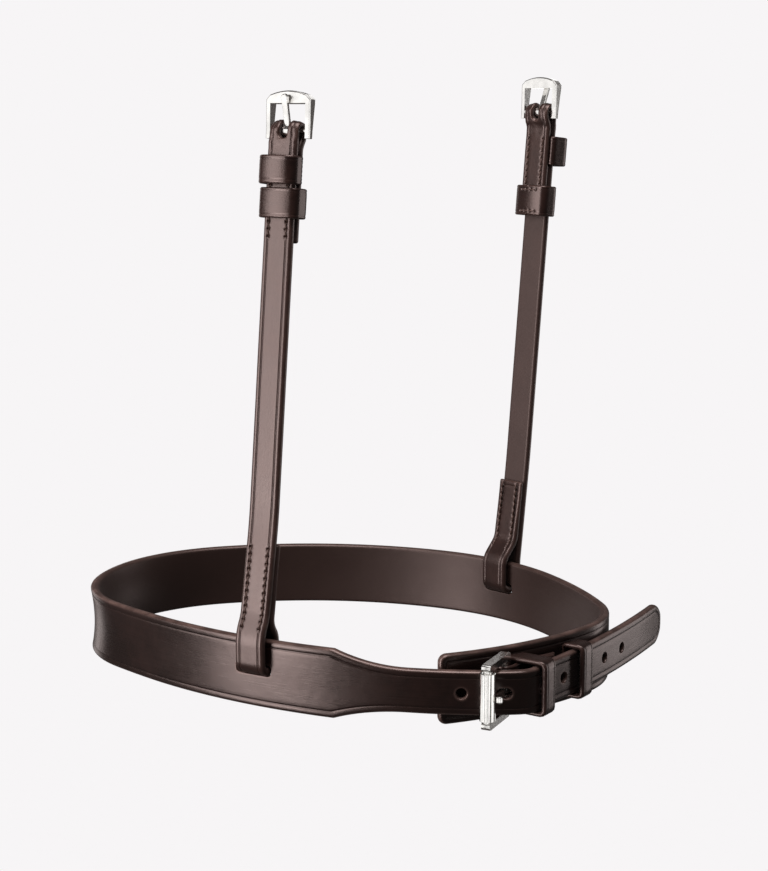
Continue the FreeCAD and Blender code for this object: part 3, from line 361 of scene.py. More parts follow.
def leather_piece(name, lay, outline, body, stands_for, material, slot, grain, flesh, holes=(),
                  rim=1.1, hole_rim=0.4, crease=2.6, crease_depth=0.22, pitch=1.3,
                  pits=(), pit_depth=0.6, extra=None, warp=None, closed=False):
    """Cuts, rounds and lays one piece of leather.

    grain and flesh give the half thickness on each side for points (s, t).  pits are (s, t) places
    of stitch holes on the grain side.  extra moves the grain surface outwards by its result, and
    warp moves both surfaces.  A closed piece is a loop whose two ends meet without a seam.
    """
    outer = resample(outline, pitch)
    cuts = [resample(hole, pitch * 0.5) for hole in holes]

    rings = list(RIM_RINGS) + [crease + step for step in CREASE_RINGS if crease]
    rings = sorted(value for value in rings if value > 0)
    found = []
    for offset in rings:
        ring = ring_round(outer, offset)
        keep = np.abs(distance_to(ring, outer) - offset) < RING_TOLERANCE * offset + TOUCHING
        found.append(ring[keep & inside(ring, outer) & clear_of(ring, cuts, RING_TO_CUT)])
    for cut in cuts:
        for offset in HOLE_RINGS:
            ring = ring_round(cut, -offset)
            others = [other for other in cuts if other is not cut]
            keep = distance_to(ring, outer) > RING_TO_EDGE
            found.append(ring[keep & clear_of(ring, others, CUT_TO_CUT)])
    for s, t in pits:
        found.append(np.array([(s, t)]))
        for radius in PIT_RINGS:
            found.append(np.array(arc_points(s, t, radius, 0, 315)))
    low, high = outer.min(0), outer.max(0)
    columns, rows = np.arange(low[0] + pitch / 2, high[0], pitch), np.arange(low[1], high[1], pitch)
    grid_s, grid_t = np.meshgrid(columns, rows)
    grid = np.stack([grid_s.ravel(), grid_t.ravel()], 1)
    grid[:, 0] += pitch / 2 * (np.arange(len(grid)) // grid_s.shape[1] % 2)
    keep = (distance_to(grid, outer) > rings[-1] + pitch * GRID_TO_EDGE) & inside(grid, outer)
    keep &= clear_of(grid, cuts, HOLE_RINGS[-1] + pitch * GRID_TO_CUT)
    for s, t in pits:
        keep &= np.hypot(grid[:, 0] - s, grid[:, 1] - t) > PIT_CLEAR
    found.append(grid[keep])

    loops = [outer] + cuts
    points = np.concatenate(loops + found)
    edges = []
    first = 0
    for loop in loops:
        edges += [(first + k, first + (k + 1) % len(loop)) for k in range(len(loop))]
        first += len(loop)
    result = geometry.delaunay_2d_cdt([Vector(p) for p in points], edges, [], 0, 1e-5)
    flat = np.array([tuple(v) for v in result[0]])
    triangles = np.array(result[2])
    middle = flat[triangles].mean(1)
    keep = inside(middle, outer)
    for cut in cuts:
        keep &= ~inside(middle, cut)
    triangles = triangles[keep]
    a, b, c = flat[triangles[:, 0]], flat[triangles[:, 1]], flat[triangles[:, 2]]
    clockwise = (b[:, 0] - a[:, 0]) * (c[:, 1] - a[:, 1]) - (b[:, 1] - a[:, 1]) * (c[:, 0] - a[:, 0]) < 0
    triangles[clockwise] = triangles[clockwise][:, ::-1]
    used = np.unique(triangles)
    number = np.full(len(flat), -1)
    number[used] = np.arange(len(used))
    flat, triangles = flat[used], number[triangles]

    s, t = flat.T
    edge_distance = distance_to(flat, outer)
    if closed:
        edge_distance = np.minimum(t - low[1], high[1] - t)
    lift = rounding(edge_distance, rim)
    nearest_cut = np.full(len(flat), FAR)
    for cut in cuts:
        nearest_cut = np.minimum(nearest_cut, distance_to(flat, cut))
    lift = np.minimum(lift, rounding(nearest_cut, hole_rim))
    on_edge = (edge_distance < TOUCHING) | (nearest_cut < TOUCHING)

    groove = np.zeros(len(flat))
    if crease:
        groove = crease_depth * np.exp(-((edge_distance - crease) / CREASE_WIDTH) ** 2)
    front = grain(s, t) - groove
    if extra is not None:
        front = front + extra(s, t)
    for ps, pt in pits:
        near = np.hypot(s - ps, t - pt)
        front = front - pit_depth * np.exp(-(near / PIT_RADIUS) ** 2)
    front = front * lift
    back = flesh(s, t) * lift

    shift = np.zeros(len(flat)) if warp is None else warp(s, t)
    front, back = shift - front, shift + back

    face_points = lay.point(s, t, front)
    back_number = np.arange(len(flat)) + len(flat)
    back_number[on_edge] = np.nonzero(on_edge)[0]
    order = np.unique(back_number[back_number >= len(flat)])
    packed = {old: len(flat) + k for k, old in enumerate(order)}
    back_number = np.array([packed.get(v, v) for v in back_number])
    inner = order - len(flat)
    vertices = np.concatenate([face_points, lay.point(s[inner], t[inner], back[inner])]) * MM
    faces = np.concatenate([triangles, back_number[triangles][:, ::-1]])
    walls = end_walls(triangles, s, (low[0], high[0]), back_number) if closed else []

    mesh = bpy.data.meshes.new(name)
    mesh.from_pydata([tuple(v) for v in vertices], [], [tuple(int(k) for k in f) for f in faces] + walls)
    flat_all = np.concatenate([flat, flat[inner]])
    nearest = np.minimum(edge_distance, nearest_cut)
    write_attribute(mesh, "edge_mm", np.concatenate([nearest, nearest[inner]]))
    write_attribute(mesh, "flesh", np.concatenate([on_edge * 0.5, np.ones(len(inner))]))
    layer = mesh.uv_layers.new(name="cut")
    corner = np.array([loop.vertex_index for loop in mesh.loops])
    layer.data.foreach_set("uv", (flat_all[corner] * 0.01).astype(np.float32).ravel())
    piece = finish_mesh(name, mesh, body, stands_for, material)
    for face in list(mesh.polygons)[len(faces):]:
        face.use_smooth = False
    return piece


def loop_piece(name, lay, edges, body, stands_for, half, rim, crease, **more):
    """A keeper: a closed loop of one strip between two edges across it."""
    (low, high), length = edges, lay.path.length
    outline = [(0.0, low), (length, low), (length, high), (0.0, high)]
    leather_piece(name, lay, outline, body, stands_for, KEEPER, "keeper_leather", half, half, rim=rim,
                  crease=crease, crease_depth=0.09, pitch=0.8, closed=True, **more)


def end_walls(triangles, s, ends, back):
    """Faces closing the thickness at a loop's two meeting ends."""
    edges = np.concatenate([triangles[:, [0, 1]], triangles[:, [1, 2]], triangles[:, [2, 0]]])
    walls = []
    for end in ends:
        at_end = np.abs(s[edges] - end).max(1) < TOUCHING
        for a, b in edges[at_end]:
            ring = [b, a, back[a], back[b]]
            walls.append(tuple(int(v) for k, v in enumerate(ring) if v not in ring[:k]))
    return walls


def write_attribute(mesh, name, values):
    attribute = mesh.attributes.new(name, "FLOAT", "POINT")
    attribute.data.foreach_set("value", np.asarray(values, np.float32))


def finish_mesh(name, mesh, body, stands_for, material):
    mesh.shade_smooth()
    mesh.materials.append(material)
    piece = bpy.data.objects.new(name, mesh)
    bpy.context.scene.collection.objects.link(piece)
    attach(piece, body)
    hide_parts(stands_for)
    return piece


def even(half):
    """The same half thickness everywhere."""
    return lambda s, t: np.full(len(s), half)


# ---- Threads ----
THREAD_SUNK = 0.75
THREAD_RISE = 0.72


def thread_piece(name, runs, body, stands_for, material, radius=THREAD_RADIUS):
    """Short thread arcs; each run is (lay, (s, t) from, (s, t) to, half thickness there)."""
    sides, stations = 8, np.linspace(0, 1, 9)
    vertices, faces = [], []
    for lay, start, end, half in runs:
        s = start[0] + (end[0] - start[0]) * stations
        t = start[1] + (end[1] - start[1]) * stations
        bow = np.sin(np.pi * stations)
        centre = lay.point(s, t, -(half - THREAD_SUNK + THREAD_RISE * bow ** 0.7))
        outward = lay.point(s, t, -np.full(len(s), half + 1)) - lay.point(s, t, -np.full(len(s), half))
        forward = np.gradient(centre, axis=0)
        forward /= np.linalg.norm(forward, axis=1)[:, None]
        beside = np.cross(forward, outward)
        beside /= np.linalg.norm(beside, axis=1)[:, None]
        outward = np.cross(beside, forward)
        thick = radius * (0.55 + 0.45 * bow ** 0.5)
        first = len(vertices)
        for k in range(len(stations)):
            for side in range(sides):
                angle = 2 * pi * side / sides
                around = cos(angle) * beside[k] + sin(angle) * outward[k]
                vertices.append(centre[k] + thick[k] * around)
        for k in range(len(stations) - 1):
            for side in range(sides):
                a = first + k * sides + side
                b = first + k * sides + (side + 1) % sides
                faces.append((a, b, b + sides, a + sides))
        faces.append(tuple(first + side for side in reversed(range(sides))))
        faces.append(tuple(first + (len(stations) - 1) * sides + side for side in range(sides)))
    mesh = bpy.data.meshes.new(name)
    mesh.from_pydata([tuple(v * MM) for v in vertices], [], faces)
    return finish_mesh(name, mesh, body, stands_for, material)


# ---- Materials ----
class Nodes:
    """Short way to add and link the shader nodes of a material or a world."""

    def __init__(self, owner):
        owner.use_nodes = True
        self.owner, self.tree = owner, owner.node_tree
        self.tree.nodes.clear()

    def add(self, kind, inputs=None, **settings):
        node = self.tree.nodes.new("ShaderNode" + kind)
        for key, value in settings.items():
            setattr(node, key, value)
        for key, value in (inputs or {}).items():
            socket = node.inputs[key]
            if isinstance(value, bpy.types.NodeSocket):
                self.tree.links.new(value, socket)
            else:
                socket.default_value = value
        return node

    def maths(self, operation, a, b=0.0, c=0.0):
        return self.add("Math", {0: a, 1: b, 2: c}, operation=operation).outputs[0]

    def ramp(self, value, low, high, to_low=0.0, to_high=1.0):
        node = self.add("MapRange", {"Value": value, "From Min": low, "From Max": high,
                                     "To Min": to_low, "To Max": to_high}, interpolation_type="SMOOTHSTEP")
        return node.outputs["Result"]

    def mix(self, share, a, b):
        return self.add("Mix", {0: share, 6: a, 7: b}, data_type="RGBA").outputs[2]

    def noise(self, vector, scale, detail=3.0, roughness=0.55):
        return self.add("TexNoise", {"Vector": vector, "Scale": scale, "Detail": detail,
                                     "Roughness": roughness}).outputs["Fac"]

    def stretch(self, vector, x, y, z=1.0):
        return self.add("Mapping", {"Vector": vector, "Scale": (x, y, z)}).outputs["Vector"]

    def output(self, shader):
        self.add("OutputMaterial", {"Surface": shader.outputs[0]})
        return self.owner


CLOUD_SCALE = 55.0
MOTTLE_SCALE = 420.0
# Patchiness of the lighter edge band, which is wear plus a painted highlight.
EDGE_WEAR_AND_HIGHLIGHT_SCALE = 170.0
PORE_SCALE = 1500.0
FIBRE_SCALE = 2600.0
BUCKLING_SCALE = 120.0
GRAIN_HEIGHT = 0.00012
BUCKLING_HEIGHT = 0.0006
BRUSH_STRETCH = (3.0, 260.0)
# Width of the lighter edge band, which is wear plus a painted highlight.
EDGE_WEAR_AND_HIGHLIGHT_WIDTH = 1.2
LEATHER_TINT = (1.0, 0.86, 0.83, 1.0)


def leather_material(name, deep, warm, edge, inside, gloss, grain, streaks=1.0):
    """Dressed leather: uneven dye, fine grain, long faint brush lines and lighter edges, partly worn and
    burnished, partly a painted highlight.
    """
    n = Nodes(bpy.data.materials.new(name))
    cut = n.add("UVMap", uv_map="cut").outputs["UV"]
    place = n.add("TexCoord").outputs["Object"]
    edge_mm = n.add("Attribute", attribute_name="edge_mm").outputs["Fac"]
    flesh = n.add("Attribute", attribute_name="flesh").outputs["Fac"]
    clouds = n.noise(place, CLOUD_SCALE, 4.0)
    mottle = n.noise(place, MOTTLE_SCALE, 3.0)
    brush = n.noise(n.stretch(cut, *BRUSH_STRETCH), 1.0, 4.0, 0.7)
    share = n.maths("MULTIPLY_ADD", clouds, 1.1, -0.05)
    share = n.maths("ADD", share, n.maths("MULTIPLY", n.maths("SUBTRACT", mottle, 0.5), 0.5))
    colour = n.mix(n.ramp(share, 0.25, 0.85), deep, warm)
    # Near the edges the colour turns to the lighter edge colour: partly worn, burnished leather, partly a
    # painted highlight along the rims.
    edge_wear_and_highlight = n.ramp(edge_mm, EDGE_WEAR_AND_HIGHLIGHT_WIDTH, 0.0)
    edge_wear_and_highlight = n.maths("MULTIPLY", edge_wear_and_highlight, n.ramp(n.noise(place, EDGE_WEAR_AND_HIGHLIGHT_SCALE, 3.0), 0.3, 0.75, 0.35, 1.0))
    colour = n.mix(edge_wear_and_highlight, colour, edge)
    back = n.ramp(flesh, 0.6, 0.95)
    colour = n.mix(n.maths("MULTIPLY", back, 0.7), colour, inside)
    cells = n.add("TexVoronoi", {"Vector": place, "Scale": PORE_SCALE, "Randomness": 1.0},
                  feature="SMOOTH_F1")
    pores = n.maths("MULTIPLY", cells.outputs["Distance"], 0.9)
    fine = n.noise(place, FIBRE_SCALE, 2.0)
    rough = n.maths("MULTIPLY_ADD", brush, 0.16 * streaks, gloss - 0.08)
    rough = n.maths("ADD", rough, n.maths("MULTIPLY", n.maths("SUBTRACT", clouds, 0.5), 0.08))
    rough = n.maths("ADD", rough, n.maths("MULTIPLY", back, 0.14))
    height = n.maths("ADD", pores, n.maths("MULTIPLY", fine, 0.5))
    height = n.maths("ADD", height, n.maths("MULTIPLY", brush, 0.3 * streaks))
    bump = n.add("Bump", {"Height": height, "Strength": grain, "Distance": GRAIN_HEIGHT})
    waves = n.add("Bump", {"Height": n.noise(place, BUCKLING_SCALE, 2.0), "Strength": 0.12,
                           "Distance": BUCKLING_HEIGHT, "Normal": bump.outputs["Normal"]})
    shader = n.add("BsdfPrincipled", {"Base Color": colour, "Roughness": rough,
                                      "Normal": waves.outputs["Normal"], "Specular IOR Level": 0.5,
                                      "Specular Tint": LEATHER_TINT, "Sheen Weight": 0.02,
                                      "Sheen Roughness": 0.5})
    return n.output(shader)


def metal_material(name, tint, rough=0.17):
    """Polished nickel with fine scratches and a slightly uneven shine."""
    n = Nodes(bpy.data.materials.new(name))
    place = n.add("TexCoord").outputs["Object"]
    clouds = n.noise(place, 240.0, 3.0)
    lines = n.noise(n.stretch(place, 900.0, 900.0, 5200.0), 1.0, 2.0)
    darker = (*(value * 0.82 for value in tint[:3]), 1.0)
    dull = n.mix(n.ramp(clouds, 0.35, 0.75), tint, darker)
    value = n.maths("MULTIPLY_ADD", clouds, 0.12, rough - 0.05)
    bump = n.add("Bump", {"Height": lines, "Strength": 0.04, "Distance": 0.00005})
    swell = n.add("Bump", {"Height": n.noise(place, 300.0, 1.0), "Strength": 0.10, "Distance": 0.0003,
                           "Normal": bump.outputs["Normal"]})
    shader = n.add("BsdfPrincipled", {"Base Color": dull, "Metallic": 1.0, "Roughness": value,
                                      "Normal": swell.outputs["Normal"]})
    return n.output(shader)


def thread_material(name, tone):
    """Waxed twisted thread."""
    n = Nodes(bpy.data.materials.new(name))
    place = n.add("TexCoord").outputs["Object"]
    twist = n.add("TexWave", {"Vector": place, "Scale": 900.0, "Distortion": 2.0}, bands_direction="DIAGONAL")
    fibre = n.noise(place, 1800.0, 2.0)
    # The darker tone falls in the twist grooves, where the bump is low: painted shade, broken up by random
    # fibre variation.
    shade = (tone[0] * 0.55, tone[1] * 0.5, tone[2] * 0.5, 1.0)
    colour = n.mix(n.maths("MULTIPLY", twist.outputs["Fac"], fibre), shade, tone)
    bump = n.add("Bump", {"Height": twist.outputs["Fac"], "Strength": 0.5, "Distance": 0.0001})
    shader = n.add("BsdfPrincipled", {"Base Color": colour, "Roughness": 0.55,
                                      "Normal": bump.outputs["Normal"]})
    return n.output(shader)


# The edge colours are much lighter than the body: worn edges plus a painted highlight on the rims.
STRAP = leather_material("havana_leather", deep=(0.0040, 0.0016, 0.0012, 1), warm=(0.0095, 0.0040, 0.0031, 1),
                         edge=(0.085, 0.056, 0.049, 1), inside=(0.023, 0.0132, 0.0110, 1),
                         gloss=0.29, grain=0.08)
KEEPER = leather_material("keeper_leather", deep=(0.0070, 0.0029, 0.0023, 1),
                          warm=(0.0170, 0.0078, 0.0062, 1),
                          edge=(0.030, 0.0165, 0.0140, 1), inside=(0.018, 0.0090, 0.0075, 1),
                          gloss=0.32, grain=0.15, streaks=0.5)
CHEEK = leather_material("cheek_leather", deep=(0.0080, 0.0035, 0.0028, 1), warm=(0.0190, 0.0090, 0.0072, 1),
                         edge=(0.055, 0.034, 0.029, 1), inside=(0.019, 0.0105, 0.0090, 1),
                         gloss=0.34, grain=0.14, streaks=0.8)
METAL = metal_material("polished_nickel", (0.86, 0.845, 0.82, 1.0))
THREAD = thread_material("waxed_thread", (0.060, 0.030, 0.021, 1))


# ---- Nose band ----
LOOP_LENGTH = sum(length for length, turn in LOOP_STRETCHES)
BAND = Path(GUARD_START, LOOP_STRETCHES + BILLET_STRETCHES)
TAPER_START = LOOP_LENGTH - TAPER_TO_BUCKLE
TAPER_END = TAPER_START + TAPER_LENGTH
SLOT_TIGHT = 0.4
SLOT_FOOT = 0.45
CURL = 1.5
CURL_ALONG = ((295.0, 345.0), (375.0, 432.0))


def band_outline():
    """Lower edge from the guard's end to the tip and back along the upper edge."""
    lower = arc_points(GUARD_CORNER, GUARD_CORNER, GUARD_CORNER, 180, 270)
    radius = (TAPER_LENGTH ** 2 + BILLET_LOW ** 2) / (2 * BILLET_LOW)
    half_turn = asin(TAPER_LENGTH / radius) / 2
    middle = (TAPER_END - radius * sin(half_turn), BILLET_LOW - radius * (1 - cos(half_turn)))
    lower += arc_through((TAPER_START, 0.0), middle, (TAPER_END, BILLET_LOW))
    tip = BAND.length
    lower += arc_through((tip - TIP_LENGTH, BILLET_LOW), (tip - TIP_BULGE[0], MIDDLE_LEVEL - TIP_BULGE[1]),
                         (tip, MIDDLE_LEVEL - TIP_FLAT))
    upper = [(s, BAND_WIDTH - t) for s, t in reversed(lower)]
    return lower + upper


def band_holes():
    cuts = []
    first = BAND.length - TIP_TO_HOLE
    for number in range(HOLE_COUNT):
        s = first - number * HOLE_PITCH
        half_s = WORN_LENGTH / 2 if number == WORN_HOLE else HOLE_DIAMETER / 2
        half_t = HOLE_DIAMETER / 2
        low, high = (s - half_s, MIDDLE_LEVEL - half_t), (s + half_s, MIDDLE_LEVEL + half_t)
        cuts.append(rounded(low, high, half_t - 0.02))
    for cheek in CHEEKS.values():
        half = SLOT_LENGTH / 2 - SLOT_TIGHT
        low = (cheek["slot"] - half, SLOT_MIDDLE - SLOT_HEIGHT / 2 + SLOT_FOOT)
        cuts.append(rounded(low, (cheek["slot"] + half, SLOT_MIDDLE + SLOT_HEIGHT / 2), SLOT_CORNER))
    return cuts


def band_curl(s, t):
    """The band's edges stand outwards where it bends most, round the front of the nose."""
    rise, fall = CURL_ALONG
    bend = smooth(*rise, s) * (1 - smooth(*fall, s))
    return -CURL * bend * ((t - MIDDLE_LEVEL) / MIDDLE_LEVEL) ** 2


def band_swell(s, t):
    """Slow unevenness of the hide."""
    return 0.06 * wave(s, t, 22.0, 14.0, 3.1)


leather_piece("noseband_leather", Lay(BAND), band_outline(), "noseband", "noseband_strap", STRAP,
              "strap_leather", even(LEATHER / 2), even(LEATHER / 2), holes=band_holes(), rim=1.25,
              hole_rim=0.35, pitch=1.5, extra=band_swell, warp=band_curl)


# ---- Chape and main keepers ----
LEG_OUTSIDE = -(LEATHER / 2 + SEWN_GAP + KEEPER_LEG)
CHAPE_INNER = LEG_OUTSIDE - SEWN_GAP
CHAPE_FOLD = REAR_BAR_RADIUS + CHAPE_GAP + CHAPE_PLY / 2
MAIN_KEEPER_CORNERS = (1.0, 1.6)
CHAPE_STITCH_INSET = 1.6
STITCH_GAP = 0.2
LEG_STITCH_REACH = 1.1
LEG_STITCH_LEVELS = (MIDDLE_LEVEL - 5, MIDDLE_LEVEL + 5)


def chape_path():
    """From the chape's far end along the guard to the bar, round it and back out."""
    low, high = CHAPE_ALONG
    guard_bend = LOOP_STRETCHES[0][1] / LOOP_STRETCHES[0][0]
    radius = 1 / radians(guard_bend)
    scale = (radius - CHAPE_INNER + CHAPE_PLY / 2) / radius
    length, turn = (high - low) * scale, guard_bend * (high - low)
    drop = CHAPE_FOLD * 2 - CHAPE_PLY - CHAPE_GAP
    bend_radius = drop / (2 * (1 - cos(radians(CHAPE_BEND))))
    bend = bend_radius * radians(CHAPE_BEND)
    run = 2 * bend_radius * sin(radians(CHAPE_BEND))
    flat = length - run - CHAPE_SHORTER
    start = (*BAND.beside(low, CHAPE_INNER - CHAPE_PLY / 2), BAND.state(low)[2])
    end = Path(start, [(length, turn)]).end
    stretches = [(length, -turn), (CHAPE_FOLD * pi, 180.0), (bend, CHAPE_BEND),
                 (bend, -CHAPE_BEND + degrees(run / radius)), (flat, turn * flat / length)]
    return Path((end[0], end[1], end[2] + 180), stretches), length


CHAPE, chape_first = chape_path()
TONGUE_LEVEL = MIDDLE_LEVEL + 0.1
CHAPE_SLOT_HALF = 2.5
CHAPE_SLOT_REACH = CHAPE_FOLD * pi / 2 + 3.0
fold_middle = chape_first + CHAPE_FOLD * pi / 2
chape_slot = rounded((fold_middle - CHAPE_SLOT_REACH, TONGUE_LEVEL - CHAPE_SLOT_HALF),
                     (fold_middle + CHAPE_SLOT_REACH, TONGUE_LEVEL + CHAPE_SLOT_HALF), 1.2)
leather_piece("main_chape_leather", Lay(CHAPE),
              rounded((0, BILLET_LOW), (CHAPE.length, BILLET_LOW + BILLET_WIDTH), 0.6), "noseband",
              "main_chape", KEEPER, "strap_leather", even(CHAPE_PLY / 2), even(CHAPE_PLY / 2), rim=0.75,
              crease=1.4, crease_depth=0.08, pitch=0.9, holes=[chape_slot])


def guard_x(y):
    """x of the guard's outer face at a given y, where the keepers are sewn on."""
    s = np.linspace(0, LOOP_STRETCHES[0][0], 400)
    px, py, heading = BAND.at(s)
    gap = LEATHER / 2 + SEWN_GAP
    return np.interp(y, py - gap * np.cos(heading), px + gap * np.sin(heading))


class KeeperLay(Lay):
    """Loop standing on the curved guard: its inner side follows the guard, its outer side is flat."""

    def __init__(self, path, x_inner, x_outer):
        super().__init__(path, axes="XZY")
        self.across = -self.across
        self.x_inner, self.x_outer = x_inner, x_outer

    def point(self, s, t, w):
        points = super().point(s, t, w)
        share = np.clip((self.x_outer - points[:, 0]) / (self.x_outer - self.x_inner), 0, 1)
        points[:, 0] += share * (guard_x(points[:, 1]) - self.x_inner)
        return points


def main_keeper(node):
    """Loop round the billet, standing on the guard; its ends meet on the guard under the billet."""
    low, high = (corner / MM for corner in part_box(node))
    middle_y = (low.y + high.y) / 2
    half = KEEPER_LEATHER / 2
    x_inner = float(guard_x(middle_y))
    leg = x_inner + KEEPER_LEG / 2
    outer = high.x - half
    bottom, top = low.z + half, high.z - half
    corner_in, corner_out = MAIN_KEEPER_CORNERS
    run = outer - leg - corner_in - corner_out
    rise = top - bottom - 2 * corner_in
    path = Path((leg, (top + bottom) / 2, -90.0), [
        (rise / 2, 0), (corner_in * pi / 2, 90), (run, 0), (corner_out * pi / 2, 90),
        (top - bottom - 2 * corner_out, 0), (corner_out * pi / 2, 90), (run, 0),
        (corner_in * pi / 2, 90), (rise / 2, 0)])

    def half_thickness(s, t):
        share = smooth(0, 1.6, np.minimum(s, path.length - s) - rise / 2)
        return KEEPER_LEG / 2 - LEG_SHAVE + (half - KEEPER_LEG / 2) * share

    lay = KeeperLay(path, x_inner, high.x)
    loop_piece(node + "_leather", lay, (-high.y, -low.y), "noseband", node, half_thickness, 0.8, 1.55)


MAIN_KEEPERS = ("main_keeper_front", "main_keeper_rear")
for keeper in MAIN_KEEPERS:
    main_keeper(keeper)


def guard_stitches():
    """Two cross rows of the chape's stitching, on its outer ply."""
    runs = []
    lay = Lay(CHAPE)
    for t in (BILLET_LOW + STITCH_INSET, BILLET_LOW + BILLET_WIDTH - STITCH_INSET):
        places = [CHAPE.length - CHAPE_STITCH_INSET - STITCH_PITCH * k for k in range(4)]
        for a, b in zip(places, places[1:]):
            runs.append((lay, (a - STITCH_GAP, t), (b + STITCH_GAP, t), CHAPE_PLY / 2))
    return runs


thread_piece("main_chape_thread", guard_stitches(), "noseband", "main_chape_stitching", THREAD)


def keeper_leg_stitches():
    """Tacking stitches through the keepers' legs, inside of the billet."""
    runs = []
    half = LEATHER / 2 + SEWN_GAP + KEEPER_LEG
    for node in MAIN_KEEPERS:
        low, high = (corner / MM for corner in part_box(node))
        y = (low.y + high.y) / 2
        s_values = np.linspace(0, LOOP_STRETCHES[0][0], 600)
        _, py, heading = BAND.at(s_values)
        s = float(np.interp(y, py - (LEATHER / 2) * np.cos(heading), s_values))
        for level in LEG_STITCH_LEVELS:
            runs.append((Lay(BAND), (s, level - LEG_STITCH_REACH), (s, level + LEG_STITCH_REACH), half))
    return runs


thread_piece("main_keeper_thread", keeper_leg_stitches(), "noseband", "main_keeper_stitching", THREAD,
             radius=FINE_THREAD)


# ---- Cheek straps ----
class Cheek:
    """Places of one cheek strap in its own upright frame: y outward, z up."""

    def __init__(self, side, data):
        self.side, self.data = side, data
        x, y, _ = BAND.state(data["slot"])
        turn = Matrix.Rotation(radians(data["azimuth"]), 4, "Z")
        self.base = Matrix.Translation((x, y, 0)) @ turn @ Matrix.Translation((data["shift"], 0, 0))
        low_turn, low_heading = -data["low_lean"], 90.0 - data["low_lean"]
        top_heading = 90.0 - data["top_lean"]
        start = (*TURN_START, 0.0)
        corner = (TURN_RADIUS * pi / 2, 90.0)
        rise = [(TURN_FLAT / 2, 0.0), corner, (RISE_OUTER, 0.0)]
        if data["pinch"]:
            out = data["pinch"] + low_turn
            rise += [(PINCH_RADIUS * radians(out), out),
                     (PINCH_RADIUS * radians(data["pinch"]), -data["pinch"])]
        else:
            rise += [(LOW_BEND_RADIUS * radians(abs(low_turn)), low_turn)]
        self.double = double = Path(start, rise).end
        outer = rise + [((DOUBLE_TOP - double[1]) / sin(radians(low_heading)), 0.0),
                        (CHANGE_LENGTH, top_heading - low_heading)]
        straight = Path(start, outer).end
        climb = (data["bar_level"] - straight[1]) / sin(radians(top_heading))
        bend_radius = (2 * FOLD_RADIUS - CHEEK_STACK) / (2 * (1 - cos(radians(FOLD_BEND))))
        bend = bend_radius * radians(FOLD_BEND)
        bend_height = 2 * bend_radius * sin(radians(FOLD_BEND))
        to_bar = outer + [(climb, 0.0)]
        over = [(FOLD_RADIUS * pi, 180.0), (bend, FOLD_BEND), (bend, -FOLD_BEND),
                (FOLD_BACK - bend_height, 0.0)]
        bar_x, bar_y = Path(start, to_bar).end[:2]
        angle = radians(top_heading)
        top = (bar_x - CHEEK_STACK / 2 * sin(angle), bar_y + CHEEK_STACK / 2 * cos(angle))
        lean = Matrix.Rotation(radians(-data["top_lean"]), 4, "X")
        self.top = self.base @ Matrix.Translation((0, *top)) @ lean
        self.top_point, self.top_angle = top, angle

        turn_up = self.inner_stretches(data, double, low_heading)
        inner = Path((*TURN_START, 180.0), turn_up)
        x, y, heading = inner.end
        self.path = Path((x, y, heading + 180), reverse(turn_up) + to_bar + over)
        self.turn_at = inner.length
        self.bar_at = inner.length + sum(length for length, turn in to_bar)
        self.lay = Lay(self.path, self.base, "YZX")
        self.low_angle = radians(low_heading)

    def inner_stretches(self, data, double, low_heading):
        """The turn-up: up inside the band and over to lie against the outer ply."""
        bend = data["turn_up_bend"]
        back = bend - data["low_lean"]
        stretches = [(TURN_FLAT / 2, 0.0), (TURN_RADIUS * pi / 2, -90.0), (RISE_INNER, 0.0),
                     (CROSS_RADIUS * radians(bend), -bend)]
        turned = (CROSS_RADIUS * radians(back), back)
        start = (*TURN_START, 180.0)
        end = Path(start, stretches + [turned]).end
        normal = radians(low_heading + 90)
        gap = (double[0] - end[0]) * cos(normal) + (double[1] - end[1]) * sin(normal)
        stretches += [((-gap - CHEEK_STACK) / sin(radians(back)), 0.0), turned]
        end = Path(start, stretches).end
        stretches.append(((TURN_UP_TOP - end[1]) / sin(radians(low_heading)), 0.0))
        return stretches

    def place(self, start, angle, up, inward, stretch):
        """Distance along the strap of a point up a sloping line from start and inward of it."""
        px = start[0] + up * cos(angle) - inward * sin(angle)
        py = start[1] + up * sin(angle) + inward * cos(angle)
        return self.path.nearest(px, py, *stretch)

    def low_place(self, up, ply):
        """Place above the sewn plies' start, on the outer ply (1) or the inner one (-1)."""
        stretch = (self.turn_at, self.bar_at) if ply > 0 else (0, self.turn_at - 8)
        return self.place(self.double, self.low_angle, up, CHEEK_STACK if ply < 0 else 0.0, stretch)

    def top_place(self, up, ply):
        """Place up from the bar's level, on the outer ply (1) or the one folded back inside it (-1)."""
        stretch = (self.turn_at + 20, self.bar_at + 1) if ply > 0 else (self.bar_at + 6, self.path.length)
        return self.place(self.top_point, self.top_angle, up, -ply * CHEEK_STACK / 2, stretch)


